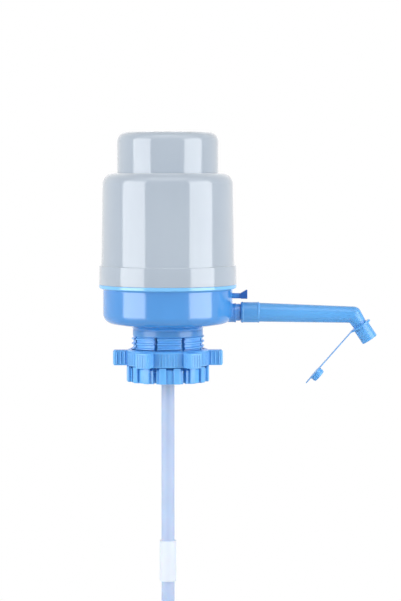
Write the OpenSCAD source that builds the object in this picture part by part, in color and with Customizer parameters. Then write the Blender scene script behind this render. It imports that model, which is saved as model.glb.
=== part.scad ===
// Press-to-pour pump that clamps on a wide container neck.
// Origin: centre of the mouth seat, the underside of the neck gasket.
// +Z is up, +X runs along the spout. Millimetres.

/* [Neck it clamps] */
// Radius of the neck that the collet's pads close on
neck_r = 25.35; // [24.5:0.05:26]
// Largest radius of the neck's mouth
finish_r = 27.5; // [26.5:0.1:28]
// Radial room left round the mouth for the gasket's pocket
mouth_room = 1.4; // [1:0.1:2]

/* [Base bowl] */
// Outer radius of the bowl's wall
bowl_r = 63.4; // [60:0.1:68]
// Height of the bowl's rim above the mouth seat
bowl_h = 47; // [44:0.5:60]
// Wall thickness of the bowl
bowl_wall = 2.4; // [1.8:0.1:3]
// Radius of the bowl's lower corner
bowl_corner_r = 10; // [7:0.5:12]
// Rise of the bowl's underside for each millimetre outwards
bowl_slope = 0.166; // [0.05:0.002:0.2]
// Radius of the fillet between neck and underside
neck_fillet_r = 3.2; // [2:0.1:5]
// Height of the light rim band round the bowl's top
rim_h = 3.3; // [2:0.1:5]
// Height of the chamfer under the rim band
rim_chamfer_h = 1.5; // [1:0.1:3]
// Height of the ledge that carries the valve deck, above the rim
ledge_rise = 4.5; // [4:0.1:6]
// Thickness of that ledge
ledge_t = 6; // [4:0.5:7]
// Width of that ledge
ledge_w = 8; // [7:0.5:10]
// Height of the upstand inside the cover, above the rim
upstand_h = 14; // [13.5:0.5:18]

/* [Collet and neck gasket] */
// Height of the joint between bowl and collet above the mouth seat
seam_z = 2.6; // [2:0.1:3.5]
// Depth of the collet below the mouth seat
collet_depth = 48; // [46:0.5:60]
// Wall of the bowl's ring that centres the collet
centring_wall = 2.1; // [1.5:0.1:3]
// Depth of that ring below the mouth seat
centring_depth = 3; // [2:0.1:4]
// Wall of the collet at its thread's root
collet_wall = 3.35; // [2.5:0.05:4.5]
// Depth of the thread
thread_depth = 1.2; // [0.8:0.1:1.6]
// Pitch of the thread
thread_pitch = 4.7; // [3.5:0.1:6]
// Number of fingers that the slots part the collet into
finger_count = 8; // [6:1:10]
// Width of a slot between fingers
slot_w = 3.3; // [2:0.1:4]
// Distance from the mouth seat down to the slots' tops
slot_top = 4.2; // [3.5:0.1:8]
// Turn of the first slot about the axis, in degrees
slot_turn = 26.2; // [0:0.1:45]
// Reach of the skirt beyond the thread's crests
skirt_out = 2.5; // [2:0.1:3.5]
// Height of the skirt's ribs above it
rib_out = 2.4; // [1.2:0.1:3]
// Width of a skirt rib, in degrees
rib_angle = 9.6; // [6:0.2:10]
// Angle from a finger's middle to each rib's middle
rib_offset_angle = 10.3; // [7:0.1:12]
// Thickness of the neck gasket
gasket_t = 4; // [2.5:0.1:5]
// Inner radius of the neck gasket
gasket_bore_r = 19; // [17:0.5:22]
// Height of the pads that grip the neck
pad_h = 9; // [6:0.5:10]
// Wall of those pads
pad_wall = 4.2; // [3:0.1:5]
// Depth of the hollow between pads and skirt
hollow_h = 11; // [6:0.5:12]
// Wall of the skirt outside that hollow
skirt_wall = 3; // [2:0.1:4]

/* [Clamp nut] */
// Distance from the mouth seat down to the nut's top
nut_top = 15.5; // [14.5:0.1:18]
// Height of the nut's raised collar
nut_collar_h = 1.9; // [1:0.1:3]
// Height of the nut's lobes
nut_h = 14.7; // [10:0.1:15.5]
// Wall of the nut's hub round its bore
nut_wall = 4.3; // [3.5:0.1:6]
// Taper of the nut's raised collar
nut_collar_taper = 1.7; // [0.5:0.1:2.5]
// Number of lobes
lobe_count = 6; // [4:1:8]
// Reach of a lobe beyond the hub
lobe_l = 13.1; // [11:0.1:18]
// Width of a lobe
lobe_w = 13; // [10:0.5:16]
// Turn of the first lobe about the axis, in degrees
lobe_turn = 1.7; // [0:0.1:60]
// Radius of a lobe's corners
lobe_corner_r = 1.5; // [0.8:0.1:2.5]
// Bevel round the nut's edges
nut_bevel = 0.6; // [0.3:0.1:1]
// Radius of a grip rib on the nut
grip_r = 0.55; // [0.3:0.05:0.7]
// Spacing of the grip ribs on a lobe's flank
grip_pitch = 3.7; // [2:0.1:4]

/* [Cover] */
// Height of the cover above the bowl's rim
cover_h = 108.7; // [100:0.1:130]
// Reach of the cover beyond the bowl's wall, just above its collar
cover_out = 1.55; // [1.4:0.05:2]
// Draft of the cover: how much narrower it is at its top corner
cover_draft = 1.45; // [0.5:0.05:2.5]
// Radius of the cover's top corner
cover_corner_r = 11; // [8:0.5:12]
// Wall thickness of the cover
cover_wall = 2.4; // [1.8:0.1:3]
// Thickness of the cover's shoulder
shoulder_t = 3; // [2:0.1:4]
// Fall of the shoulder from its opening to its corner
shoulder_fall = 0.3; // [0.1:0.1:1.5]
// Height of the cover's lower collar
collar_h = 18.8; // [17:0.1:24]
// Reach of that collar beyond the bowl's wall, at its foot
collar_out = 3.85; // [3.6:0.05:5]
// Draft of that collar
collar_draft = 0.35; // [0:0.05:0.6]
// Wall of that collar
collar_wall = 2.85; // [2.6:0.05:3.2]
// Height of the slope inside the collar's top
collar_slope_h = 1; // [0.5:0.1:1.5]
// Bevel at the cover's opening and at the collar's top
cover_bevel = 0.6; // [0.3:0.1:1]
// Wall thickness of the guide sleeve
guide_wall = 2.2; // [1.5:0.1:2.4]

/* [Press cap] */
// Outer radius of the cap at the shoulder
cap_r = 49.3; // [47:0.1:50]
// Rise of the cap above the shoulder at rest
cap_rise = 41; // [38:0.5:50]
// Radius of the cap's top edge
cap_edge_r = 9.5; // [5:0.5:12]
// Wall thickness of the cap
cap_wall = 2.5; // [1.8:0.1:2.6]
// Crown height of the cap's top
cap_crown = 1.2; // [0.4:0.1:2]
// Width of the cap's retaining flange
flange_w = 3.7; // [2:0.1:3.8]
// Thickness of that flange
flange_t = 3.4; // [2.5:0.1:4]
// Stroke of the cap
press_stroke = 32; // [20:1:34]
// Number of screws between cap and bellows plate
cap_screw_count = 4; // [3:1:6]
// Radius of the circle those screws stand on
cap_screw_circle_r = 32.5; // [28:0.5:33]
// Radius of a screw boss in the cap
boss_r = 4.2; // [3.5:0.1:5]
// Depth of the pilot hole in a boss
pilot_depth = 10; // [8:0.5:20]
// Number of air notches in the cap's flange
notch_count = 8; // [4:1:12]
// Width of an air notch
notch_w = 6; // [3:0.5:8]
// Height of an air notch
notch_h = 1.4; // [0.8:0.1:1.8]

/* [Bellows and spring] */
// Radial room between the bellows and the cap's wall
bellows_room = 0.9; // [0.5:0.1:2]
// Depth of a bellows fold
fold_depth = 5.9; // [4:0.1:6.2]
// Number of bellows folds
fold_count = 8; // [5:1:10]
// Wall thickness of the bellows
bellows_wall = 1.2; // [0.8:0.1:1.4]
// Thickness of the bellows plate
plate_t = 3; // [2.5:0.1:4]
// Width of the bellows lip round that plate
lip_w = 3; // [2:0.1:3.5]
// Thickness of the bellows lip and foot
lip_t = 1.5; // [1:0.1:2]
// Width of the bellows foot beyond its folds
foot_w = 4.6; // [3.5:0.1:5]
// Height of the rings that keep the return spring in place
spring_seat_h = 2.5; // [1.5:0.1:4]
// Wall of those rings
spring_seat_wall = 1.6; // [1:0.1:2]
// Wire radius of the return spring
spring_wire_r = 1.1; // [0.8:0.05:1.4]
// Mean radius of the return spring
spring_r = 20; // [17:0.5:23]
// Number of turns of the return spring
spring_turns = 9; // [5:1:10]

/* [Valve deck] */
// Thickness of the deck gasket
deck_gasket_t = 1; // [0.6:0.1:1.5]
// Thickness of the valve deck
deck_t = 3; // [2.5:0.1:4]
// Thickness of the ring that clamps the bellows' foot
clamp_ring_t = 3; // [2:0.1:4]
// Number of deck screws
deck_screw_count = 6; // [4:1:10]
// Length of a deck screw under its head
deck_screw_l = 12; // [11:0.5:14]
// Radius of a screw's shank
screw_r = 1.5; // [1.2:0.05:1.7]
// Radius of a screw's head
screw_head_r = 2.9; // [2.6:0.1:3.1]
// Height of a screw's head
screw_head_h = 2; // [1.5:0.1:2.2]

/* [Valves] */
// Radius of a valve's disc
valve_r = 9; // [8:0.1:10]
// Thickness of a valve's disc
valve_t = 1.2; // [0.8:0.1:1.6]
// Radius of a valve's stem
valve_stem_r = 1.6; // [1.2:0.1:2]
// Radius of the knob that keeps a valve in place
valve_knob_r = 2.8; // [2.4:0.1:3.2]
// Lift of a valve off its seat
valve_lift = 1.2; // [0.6:0.1:2]
// Number of ports under a valve
port_count = 6; // [4:1:8]
// Radius of a port
port_r = 1.8; // [1:0.1:2]
// Radius of the circle that the ports stand on
port_circle_r = 5.8; // [5.4:0.1:6]

/* [Dip tube] */
// Outer radius of the dip tube
tube_r = 6.45; // [6:0.05:7]
// Wall thickness of the dip tube
tube_wall = 1.5; // [1:0.1:2]
// Depth of the tube's lower end below the mouth seat
tube_depth = 462; // [380:1:480]
// Depth of the joint between the tube's two lengths
tube_joint_depth = 226; // [180:1:300]
// Wall thickness of the tube's socket
socket_wall = 2.7; // [2:0.1:3.5]
// Depth of that socket below the mouth seat
socket_depth = 10; // [6:0.5:20]
// Distance of the tube's top below the nozzle's axis
tube_top_drop = 9; // [7:0.1:12]
// Length of the tube coupler
coupler_l = 40; // [30:1:60]
// Wall thickness of the tube coupler
coupler_wall = 1.8; // [1.2:0.1:2.5]
// Thickness of the stop between the tube's two lengths
coupler_stop = 1.5; // [1:0.1:3]
// Number of air holes through the bowl's floor
air_hole_count = 6; // [4:1:8]
// Radius of an air hole
air_hole_r = 2.5; // [2:0.1:3]

/* [Nozzle] */
// Height of the nozzle's axis above the mouth seat
nozzle_z = 19.5; // [19:0.1:20]
// Radius of the water way in the nozzle
nozzle_bore_r = 4.5; // [3.5:0.1:4.8]
// Outer radius of the water pipe inside the bowl
pipe_r = 6.4; // [5.8:0.1:7]
// Radius of the boss where the nozzle leaves the bowl
nozzle_boss_r = 9.25; // [8.6:0.05:9.6]
// Reach of that boss beyond the bowl's wall
nozzle_boss_l = 3.3; // [2:0.1:5]
// Reach of that boss inwards from the bowl's inner wall
nozzle_boss_in = 3.5; // [3.2:0.1:3.7]
// Distance of that boss's middle below the nozzle's axis
nozzle_boss_drop = 0.5; // [0.4:0.1:1]
// Radius of the nozzle's shoulder
nozzle_shoulder_r = 8.4; // [8:0.1:8.6]
// Length of the nozzle's shoulder
nozzle_shoulder_l = 4.5; // [3:0.1:7]
// Radius of the nozzle's spigot
spigot_r = 6.9; // [6.5:0.1:7.2]
// Length of the nozzle's spigot
spigot_l = 12.8; // [10:0.1:16]
// Bevel at the spigot's end
spigot_bevel = 0.8; // [0.3:0.1:1.2]
// Distance of the O-ring from the nozzle's shoulder
o_ring_in = 7; // [4:0.1:8]
// Thickness of the O-ring on the spigot
o_ring_d = 1.4; // [1:0.1:1.6]

/* [Spout] */
// Outer radius of the spout's socket
spout_socket_r = 10.27; // [9.5:0.01:11]
// Length of the spout's socket
spout_socket_l = 18.3; // [17:0.1:22]
// Chamfer at the socket's ends
socket_chamfer = 1; // [0.5:0.1:1.5]
// Radius of the spout's tube at the socket
spout_root_r = 9.3; // [8.8:0.05:9.6]
// Radius of the spout's tube at the elbow
spout_end_r = 8.05; // [7.7:0.05:8.4]
// Run of the spout's tube from socket to elbow
spout_l = 92.2; // [80:0.1:150]
// Fall of the spout's tube below level, in degrees
spout_fall = 1.5; // [0:0.1:3]
// Radius of the water way in the spout
spout_bore_r = 5.5; // [4:0.1:5.8]
// Tilt of the spout's leg from straight up, in degrees
leg_tilt = 146.5; // [130:0.5:160]
// Length of the leg from the elbow to the ring
leg_l = 12.5; // [11:0.1:20]
// Radius of the leg inside the ring
leg_r = 6.9; // [6.6:0.05:6.9]
// Length of the leg inside the ring
leg_in_ring = 9.4; // [6:0.1:10]

/* [Ring, strap and plug] */
// Length of the ring's sleeve
ring_l = 16.8; // [16:0.1:22]
// Wall thickness of the ring's sleeve
ring_wall = 1.2; // [1:0.05:1.6]
// Radius of the ring's flange
ring_flange_r = 10.7; // [10:0.1:11]
// Thickness of the ring's flange
ring_flange_t = 1.2; // [1:0.1:1.2]
// Distance from the ring's axis to the strap's first hinge
strap_hinge_u = 11.7; // [11.6:0.1:12.6]
// Length of the strap from that hinge to the plug's middle
strap_l = 52.6; // [50:0.1:58]
// Thickness of the strap
strap_t = 0.9; // [0.8:0.05:1]
// Width of the strap
strap_w = 6.5; // [5:0.1:8]
// Width of the strap's root on the ring
strap_root_w = 8; // [6:0.1:10]
// Length of the notch that lets the strap fold
notch_l = 1.5; // [1.2:0.1:2]
// Angle of the strap from the ring's flange at rest
strap_rest_angle = 15.2; // [12:0.1:18]
// Radius of the pad that carries the plug
pad_r = 7.9; // [7.6:0.1:8.1]
// Reach of the pull tab from the plug's middle
pull_tab_reach = 13.8; // [11:0.1:16]
// Radius of the plug
plug_r = 6.75; // [6.5:0.05:6.75]
// Height of the plug
plug_h = 5.3; // [4:0.1:5.5]
// Height of the plug's base
plug_base_h = 1; // [0.5:0.1:1.5]
// Width of the plug's base beyond the plug
plug_base_out = 0.1; // [0:0.05:0.2]
// Lead-in at the plug's nose
plug_lead = 0.6; // [0.4:0.1:1]
// Wall of the plug round its hollow nose
plug_wall = 1.6; // [1:0.1:2.5]
// Radial clearance of the plug in the ring
plug_gap = 0.3; // [0.3:0.05:0.5]
// Height left between the ring's mouth and the pad when it is closed
plug_seat_gap = 0.3; // [0.1:0.05:0.5]

/* [Vent] */
// Radius of the vent's stem
vent_stem_r = 2.6; // [2.2:0.1:2.8]
// Reach of the vent's stem beyond the bowl's wall
vent_reach = 8; // [6:0.1:12]
// Length of the thumb head
vent_head_l = 6.5; // [5:0.1:9]
// Width of the thumb head
vent_head_w = 8; // [6:0.5:10]
// Height of the thumb head's tip above the vent's axis
vent_tip_rise = 5.9; // [4:0.1:6.2]
// Height of the thumb head's root above the vent's axis
vent_root_rise = 2.7; // [2.2:0.1:3.5]
// Width of the thumb head's tip
vent_tip_w = 1; // [0.6:0.1:1.5]
// Depth of the thumb head below the vent's axis
vent_head_drop = 2.8; // [2.4:0.1:3.2]
// Travel of the vent's stem
vent_travel = 3.5; // [1.5:0.1:4]
// Radius of the vent's inner boss
vent_boss_r = 6; // [5.6:0.1:6]
// Radius of the vent's seal
vent_seal_r = 5.2; // [4.6:0.1:5.4]
// Thickness of the vent's seal
vent_seal_t = 1.6; // [1:0.1:2]
// Depth of the vent's inner boss inside the bowl's wall
vent_boss_l = 6.8; // [6.4:0.1:9]
// Radial room for air round the vent's stem
vent_air_gap = 0.6; // [0.3:0.05:0.8]
// Radius of the stem's tail
stem_tail_r = 1.5; // [1.2:0.1:2]
// Thickness of the stem's collar
stem_collar_t = 1.2; // [0.8:0.1:2]
// Wall thickness of the vent's cage
cage_wall = 1.2; // [0.8:0.1:1.2]
// Overlap of the cage on the vent's boss
cage_grip = 2.8; // [2:0.1:2.9]
// Width of the cage's air windows
window_w = 3; // [2:0.1:4]
// Number of turns of the vent's spring
vent_spring_turns = 6; // [4:1:8]
// Mean radius of the vent's spring
vent_spring_r = 3.4; // [3:0.1:4]
// Room left in the cage when the stem is pushed in
cage_room = 2.3; // [1:0.1:4]
// Wire radius of the vent's spring
vent_wire_r = 0.35; // [0.25:0.05:0.45]

/* [Fits] */
// Radial clearance of pieces that slide or turn on each other
run_gap = 0.05; // [0.03:0.01:0.1]
// Radial clearance of soft or loosely guided pieces
loose_gap = 0.3; // [0.2:0.05:0.4]
// Gap between faces that stop a moving piece
stop_gap = 0.1; // [0.05:0.05:0.3]

/* [Hidden] */
$fn = 96;

// Overlap that joins two shapes of one piece
join = 0.5;
// Extra length of a cutter beyond the face that it opens
cut = 1;
// Points on a quarter turn of a rounded outline
quarter_steps = 10;
// Turns of hole patterns about the axis, in degrees
cap_screw_turn = 45;
deck_screw_turn = 30;
air_hole_turn = 30;

// Colours
grey = "#c7d0dc";
blue = "#4f8fdc";
sky = "#6fb8f5";
milky = "#dfe8f0";
dark_rubber = "#3a3f45";
pale_rubber = "#d5dce2";
steel = "#b9bec4";

// Small rooms and walls that other sizes leave
screw_head_wall = 0.8;
screw_tip_room = 2;
clamp_ring_room = 1;
guide_room = 3.6;
floor_room = 1.8;
pad_lead = 1.6;

// Rings and walls about the pump's axis
inner_r = bowl_r - bowl_wall;
cover_foot_r = bowl_r + cover_out;
cover_top_r = cover_foot_r - cover_draft;
collar_r = bowl_r + collar_out;
cover_bore_r = collar_r - collar_wall;
rim_r = collar_r + run_gap;
upstand_r = cover_bore_r - run_gap;
deck_r = inner_r - loose_gap;
cap_inner_r = cap_r - cap_wall;
flange_r = cap_r + flange_w;
opening_r = cap_r + loose_gap + run_gap;
guide_r = flange_r + loose_gap;
bellows_r = cap_inner_r - bellows_room;
fold_r = bellows_r - fold_depth;
clamp_ring_bore_r = bellows_r + 2*loose_gap + clamp_ring_room;
foot_r = bellows_r + foot_w;
deck_screw_circle_r = inner_r - screw_head_r - screw_head_wall;

// Collet and nut
pocket_r = finish_r + mouth_room;
centring_r = pocket_r + centring_wall;
collet_bore_r = centring_r + run_gap;
pad_r_in = neck_r + loose_gap;
thread_root_r = collet_bore_r + collet_wall;
thread_crest_r = thread_root_r + thread_depth;
bowl_neck_r = thread_root_r - stop_gap;
skirt_r = thread_crest_r + skirt_out;
rib_r = skirt_r + rib_out;
nut_bore_r = thread_crest_r + loose_gap;
nut_hub_r = nut_bore_r + nut_wall;
lobe_tip_r = nut_hub_r + lobe_l;
lobes_top_z = -nut_top - nut_collar_h;
nut_bottom_z = lobes_top_z - nut_h;
skirt_top_z = nut_bottom_z - loose_gap;
hub_grip_angle = 26.4/lobe_count;
collet_ring_z = -slot_top - cut;
hollow_z = -collet_depth + hollow_h;
pad_top_z = -collet_depth + pad_h;
lead_top_z = pad_top_z + collet_bore_r - pad_r_in + pad_lead;
pad_bevel = 1;
rib_bevel = 0.7;
finger_gap = 0.6;

// Parts of a pitch where the thread's crest starts and ends, and its lower flank ends
crest_start = 0.3;
crest_end = 0.5;
flank_end = 0.8;

// Heights
shoulder_z = bowl_h + cover_h;
ledge_z = bowl_h + ledge_rise;
deck_z = ledge_z + deck_gasket_t;
foot_z = deck_z + deck_t;
ring_z = foot_z + lip_t;
ring_top_z = ring_z + clamp_ring_t;
flange_z = shoulder_z - shoulder_t - stop_gap - flange_t;
plate_z = flange_z - lip_t - stop_gap;
plate_top_z = plate_z + plate_t;
cap_top_z = shoulder_z + cap_rise;
guide_l = shoulder_t + flange_t + press_stroke + guide_room;
floor_z = gasket_t + bowl_wall + floor_room;

// Bowl: a corner arc, a sloping underside and a neck fillet that run into each other
slope_stretch = sqrt(1 + bowl_slope*bowl_slope);
slope_angle = atan(bowl_slope);
under_z0 = seam_z + neck_fillet_r*slope_stretch - bowl_slope*(bowl_neck_r + neck_fillet_r);
corner_z = under_z0 + bowl_slope*(bowl_r - bowl_corner_r) + bowl_corner_r*slope_stretch;
corner_c = [bowl_r - bowl_corner_r, corner_z];
inner_corner_r = bowl_corner_r - bowl_wall;
flat_floor_r = (floor_z - under_z0 - bowl_wall*slope_stretch)/bowl_slope;
upstand_top_z = bowl_h + upstand_h;
upstand_bevel = 0.8;

// Snap bead that keeps the cover on the bowl
bead_h = 1.5;
bead_out = 0.5;
bead_rise = 8;
bead_z = bowl_h + bead_rise;

// Part of a fold where its crest starts and ends
crest_from = 0.42;
crest_to = 0.58;

// Water ways
tube_top_z = nozzle_z - tube_top_drop;
socket_r = tube_r + socket_wall;
tube_bore_r = tube_r - tube_wall;
air_circle_r = (socket_r + gasket_bore_r)/2;
boss_x = bowl_r + nozzle_boss_l;
nozzle_shoulder_x = boss_x + nozzle_shoulder_l;
spigot_end_x = nozzle_shoulder_x + spigot_l;
o_ring_x = nozzle_shoulder_x + o_ring_in;
groove_w = o_ring_d + 2*stop_gap;
socket_x = nozzle_shoulder_x + 2*stop_gap;
socket_end_x = socket_x + spout_socket_l;
elbow_x = socket_end_x + spout_l*cos(spout_fall);
elbow_z = nozzle_z - spout_l*sin(spout_fall);
elbow_swell = 0.1;

// Spring seats: low rings inside the return spring's ends, clear of its flats
spring_steps = 20;
spring_seat_r = spring_r*cos(180/spring_steps) - spring_wire_r - loose_gap;

// Strap: closed, it brings the plug on the ring's axis with the pad square to it
ring_bore_r = plug_r + plug_gap;
hinge_a = [strap_hinge_u, ring_flange_t/2];
closed_rise = ring_l + plug_seat_gap + strap_t/2 - hinge_a[1];
closed_span = strap_l - strap_hinge_u;
link_l = (closed_span*closed_span + closed_rise*closed_rise)/(2*closed_span);
hinge_bead_r = strap_t/2;

// Vent: its axis lies midway between the water pipe and the ledge
vent_z = (nozzle_z + pipe_r + ledge_z - ledge_t)/2;
vent_seat_x = inner_r - vent_boss_l;
vent_hole_r = vent_stem_r + vent_air_gap;
stem_collar_x = vent_seat_x - vent_seal_t - stem_collar_t;
cage_bore_r = vent_boss_r + run_gap;
cage_l = vent_travel + 2*vent_wire_r*vent_spring_turns + cage_wall + cage_room;
cage_end_x = stem_collar_x - cage_l;

// Points of an arc in a profile, with angle 0 outwards and 90 up
function arc(c, r, a0, a1, n = quarter_steps) =
    [for (i = [0:n]) let (a = a0 + (a1 - a0)*i/n) [c[0] + r*cos(a), c[1] + r*sin(a)]];

// Points of a shallow crown from the axis out to radius w, falling by h
function crown(w, h, z, n = 6) =
    let (r = (w*w + h*h)/(2*h))
    [for (i = [0:n]) let (x = w*i/n) [x, z - r + sqrt(r*r - x*x)]];

// Ring of points round a helix of radius r at turn t, square to the axis
function helix_ring(r, wire, rise, t, sides) =
    [for (k = [0:sides - 1]) let (a = 360*k/sides, q = r + wire*cos(a))
        [q*cos(360*t), q*sin(360*t), rise*t + wire*sin(a)]];

// Closed tube that follows a helix: one polyhedron with flat ends
module coil(r, wire, rise, turns, steps = 12, sides = 6) {
    count = turns*steps;
    points = [for (i = [0:count]) each helix_ring(r, wire, rise, i/steps, sides)];
    sides_faces = [for (i = [0:count - 1], k = [0:sides - 1])
        each let (a = i*sides + k, b = i*sides + (k + 1)%sides)
            [[a, b, a + sides], [b, b + sides, a + sides]]];
    ends = [[for (k = [sides - 1:-1:0]) k], [for (k = [0:sides - 1]) count*sides + k]];
    polyhedron(points = points, faces = concat(sides_faces, ends), convexity = 10);
}

// Children repeated n times about Z
module round_z(n, turn = 0) {
    for (i = [0:n - 1])
        rotate([0, 0, turn + 360*i/n])
            children();
}

// Cylinder along +X from x0 to x1
module bar_x(x0, x1, r0, z, r1 = -1) {
    translate([x0, 0, z])
        rotate([0, 90, 0])
            cylinder(h = x1 - x0, r1 = r0, r2 = r1 < 0 ? r0 : r1);
}

// Flat ring
module ring(r_out, r_in, z, t) {
    translate([0, 0, z])
        difference() {
            cylinder(h = t, r = r_out);
            translate([0, 0, -cut])
                cylinder(h = t + 2*cut, r = r_in);
        }
}

// Screw with its head above z, shank down
module screw(l) {
    cylinder(h = screw_head_h, r = screw_head_r);
    translate([0, 0, -l])
        cylinder(h = l + join, r = screw_r);
}

// Holes that a valve's stem and ports need through a plate
module valve_holes(z, t) {
    translate([0, 0, z - cut])
        cylinder(h = t + 2*cut, r = valve_stem_r + run_gap);
    round_z(port_count)
        translate([port_circle_r, 0, z - cut])
            cylinder(h = t + 2*cut, r = port_r);
}

// Umbrella valve whose disc seats on the underside, z, of a plate t thick
module umbrella_valve(z, t) {
    knob_z = z + t + valve_lift + stop_gap;
    rotate_extrude()
        polygon([
            [0, z - valve_t], [valve_r - valve_t/2, z - valve_t], [valve_r, z - valve_t/3], [valve_r, z],
            [valve_stem_r, z], [valve_stem_r, knob_z], [valve_knob_r, knob_z],
            [valve_stem_r, knob_z + valve_knob_r], [0, knob_z + valve_knob_r]
        ]);
}

// Press cap: a deep cup, upside down, with a flange that keeps it in the cover
module press_cap() {
    roof_z = cap_top_z - cap_crown - cap_wall;
    edge_c = [cap_r - cap_edge_r, cap_top_z - cap_crown - cap_edge_r];
    color(grey)
        difference() {
            union() {
                rotate_extrude()
                    polygon(concat(
                        crown(cap_r - cap_edge_r, cap_crown, cap_top_z),
                        arc(edge_c, cap_edge_r, 90, 0),
                        [
                            [cap_r, flange_z + flange_t], [flange_r, flange_z + flange_t],
                            [flange_r, flange_z], [cap_inner_r, flange_z]
                        ],
                        arc(edge_c, cap_edge_r - cap_wall, 0, 90),
                        [[0, roof_z]]
                    ));
                round_z(cap_screw_count, cap_screw_turn)
                    translate([cap_screw_circle_r, 0, plate_top_z])
                        cylinder(h = roof_z - plate_top_z + join, r = boss_r);
            }
            round_z(cap_screw_count, cap_screw_turn)
                translate([cap_screw_circle_r, 0, plate_top_z - cut])
                    cylinder(h = pilot_depth + cut, r = screw_r + run_gap);
            round_z(notch_count)
                translate([cap_inner_r + cap_wall/2, -notch_w/2, flange_z - cut])
                    cube([flange_w + cap_wall, notch_w, notch_h + cut]);
        }
}

// Screws that hold the bellows plate on the cap's bosses
module cap_screws() {
    color(steel)
        round_z(cap_screw_count, cap_screw_turn)
            translate([cap_screw_circle_r, 0, plate_z])
                rotate([180, 0, 0])
                    screw(plate_t + pilot_depth - screw_tip_room);
}

// Bellows plate: closes the bellows' top and holds the intake valve
module bellows_plate() {
    color(milky)
        difference() {
            union() {
                translate([0, 0, plate_z])
                    cylinder(h = plate_t, r = bellows_r - lip_w);
                ring(spring_seat_r, spring_seat_r - spring_seat_wall, plate_z - spring_seat_h, spring_seat_h + join);
            }
            valve_holes(plate_z, plate_t);
            round_z(cap_screw_count, cap_screw_turn)
                translate([cap_screw_circle_r, 0, plate_z - cut])
                    cylinder(h = plate_t + 2*cut, r = screw_r + run_gap);
        }
}

// Intake valve: opens into the bellows when the cap rises
module intake_valve() {
    color(dark_rubber)
        umbrella_valve(plate_z, plate_t);
}

// Bellows: a folded wall with a lip round the plate and a foot under its ring
module bellows() {
    groove_r = bellows_r - lip_w + run_gap;
    lip_in_r = groove_r - lip_w;
    fold_z0 = ring_top_z + screw_head_h;
    fold_z1 = plate_z - lip_t - bellows_wall;
    fold_p = (fold_z1 - fold_z0)/fold_count;
    outer = [for (i = [0:fold_count - 1]) each [
        [fold_r + bellows_wall, fold_z0 + fold_p*i],
        [bellows_r, fold_z0 + fold_p*(i + crest_from)], [bellows_r, fold_z0 + fold_p*(i + crest_to)]]];
    inner = [for (i = [fold_count - 1:-1:0]) each [
        [bellows_r - bellows_wall, fold_z0 + fold_p*(i + crest_to)],
        [bellows_r - bellows_wall, fold_z0 + fold_p*(i + crest_from)], [fold_r, fold_z0 + fold_p*i]]];
    color(pale_rubber)
        rotate_extrude()
            polygon(concat(
                [[foot_r, foot_z], [foot_r, ring_z], [fold_r + bellows_wall, ring_z]],
                outer,
                [
                    [fold_r + bellows_wall, fold_z1], [bellows_r, fold_z1 + bellows_wall],
                    [bellows_r, plate_top_z + lip_t], [lip_in_r, plate_top_z + lip_t], [lip_in_r, plate_top_z],
                    [groove_r, plate_top_z], [groove_r, plate_z], [lip_in_r, plate_z],
                    [lip_in_r, plate_z - lip_t], [fold_r, fold_z1]
                ],
                inner,
                [[fold_r, foot_z]]
            ));
}

// Return spring inside the bellows
module return_spring() {
    z0 = foot_z + spring_wire_r + stop_gap;
    z1 = plate_z - spring_wire_r - stop_gap;
    color(steel)
        translate([0, 0, z0])
            coil(spring_r, spring_wire_r, (z1 - z0)/spring_turns, spring_turns, spring_steps);
}

// Ring that clamps the bellows' foot and the deck on the bowl's ledge
module bellows_ring() {
    color(blue)
        difference() {
            union() {
                ring(deck_r, foot_r + loose_gap, foot_z, lip_t + join);
                ring(deck_r, clamp_ring_bore_r, ring_z, clamp_ring_t);
            }
            deck_screw_holes();
        }
}

// Clearance holes for the deck screws
module deck_screw_holes() {
    round_z(deck_screw_count, deck_screw_turn)
        translate([deck_screw_circle_r, 0, ledge_z - ledge_t - cut])
            cylinder(h = ring_top_z - ledge_z + ledge_t + 2*cut, r = screw_r + run_gap);
}

// Valve deck: the floor of the bellows
module valve_deck() {
    color(milky)
        difference() {
            union() {
                translate([0, 0, deck_z])
                    cylinder(h = deck_t, r = deck_r);
                ring(spring_seat_r, spring_seat_r - spring_seat_wall, foot_z - join, spring_seat_h + join);
            }
            valve_holes(deck_z, deck_t);
            deck_screw_holes();
        }
}

// Gasket between deck and ledge
module deck_gasket() {
    color(dark_rubber)
        difference() {
            ring(deck_r, inner_r - ledge_w, ledge_z, deck_gasket_t);
            deck_screw_holes();
        }
}

// Screws through ring, deck and gasket into the ledge
module deck_screws() {
    color(steel)
        round_z(deck_screw_count, deck_screw_turn)
            translate([deck_screw_circle_r, 0, ring_top_z])
                screw(deck_screw_l);
}

// Outlet valve: opens into the bowl when the cap goes down
module outlet_valve() {
    color(dark_rubber)
        umbrella_valve(deck_z, deck_t);
}

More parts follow.
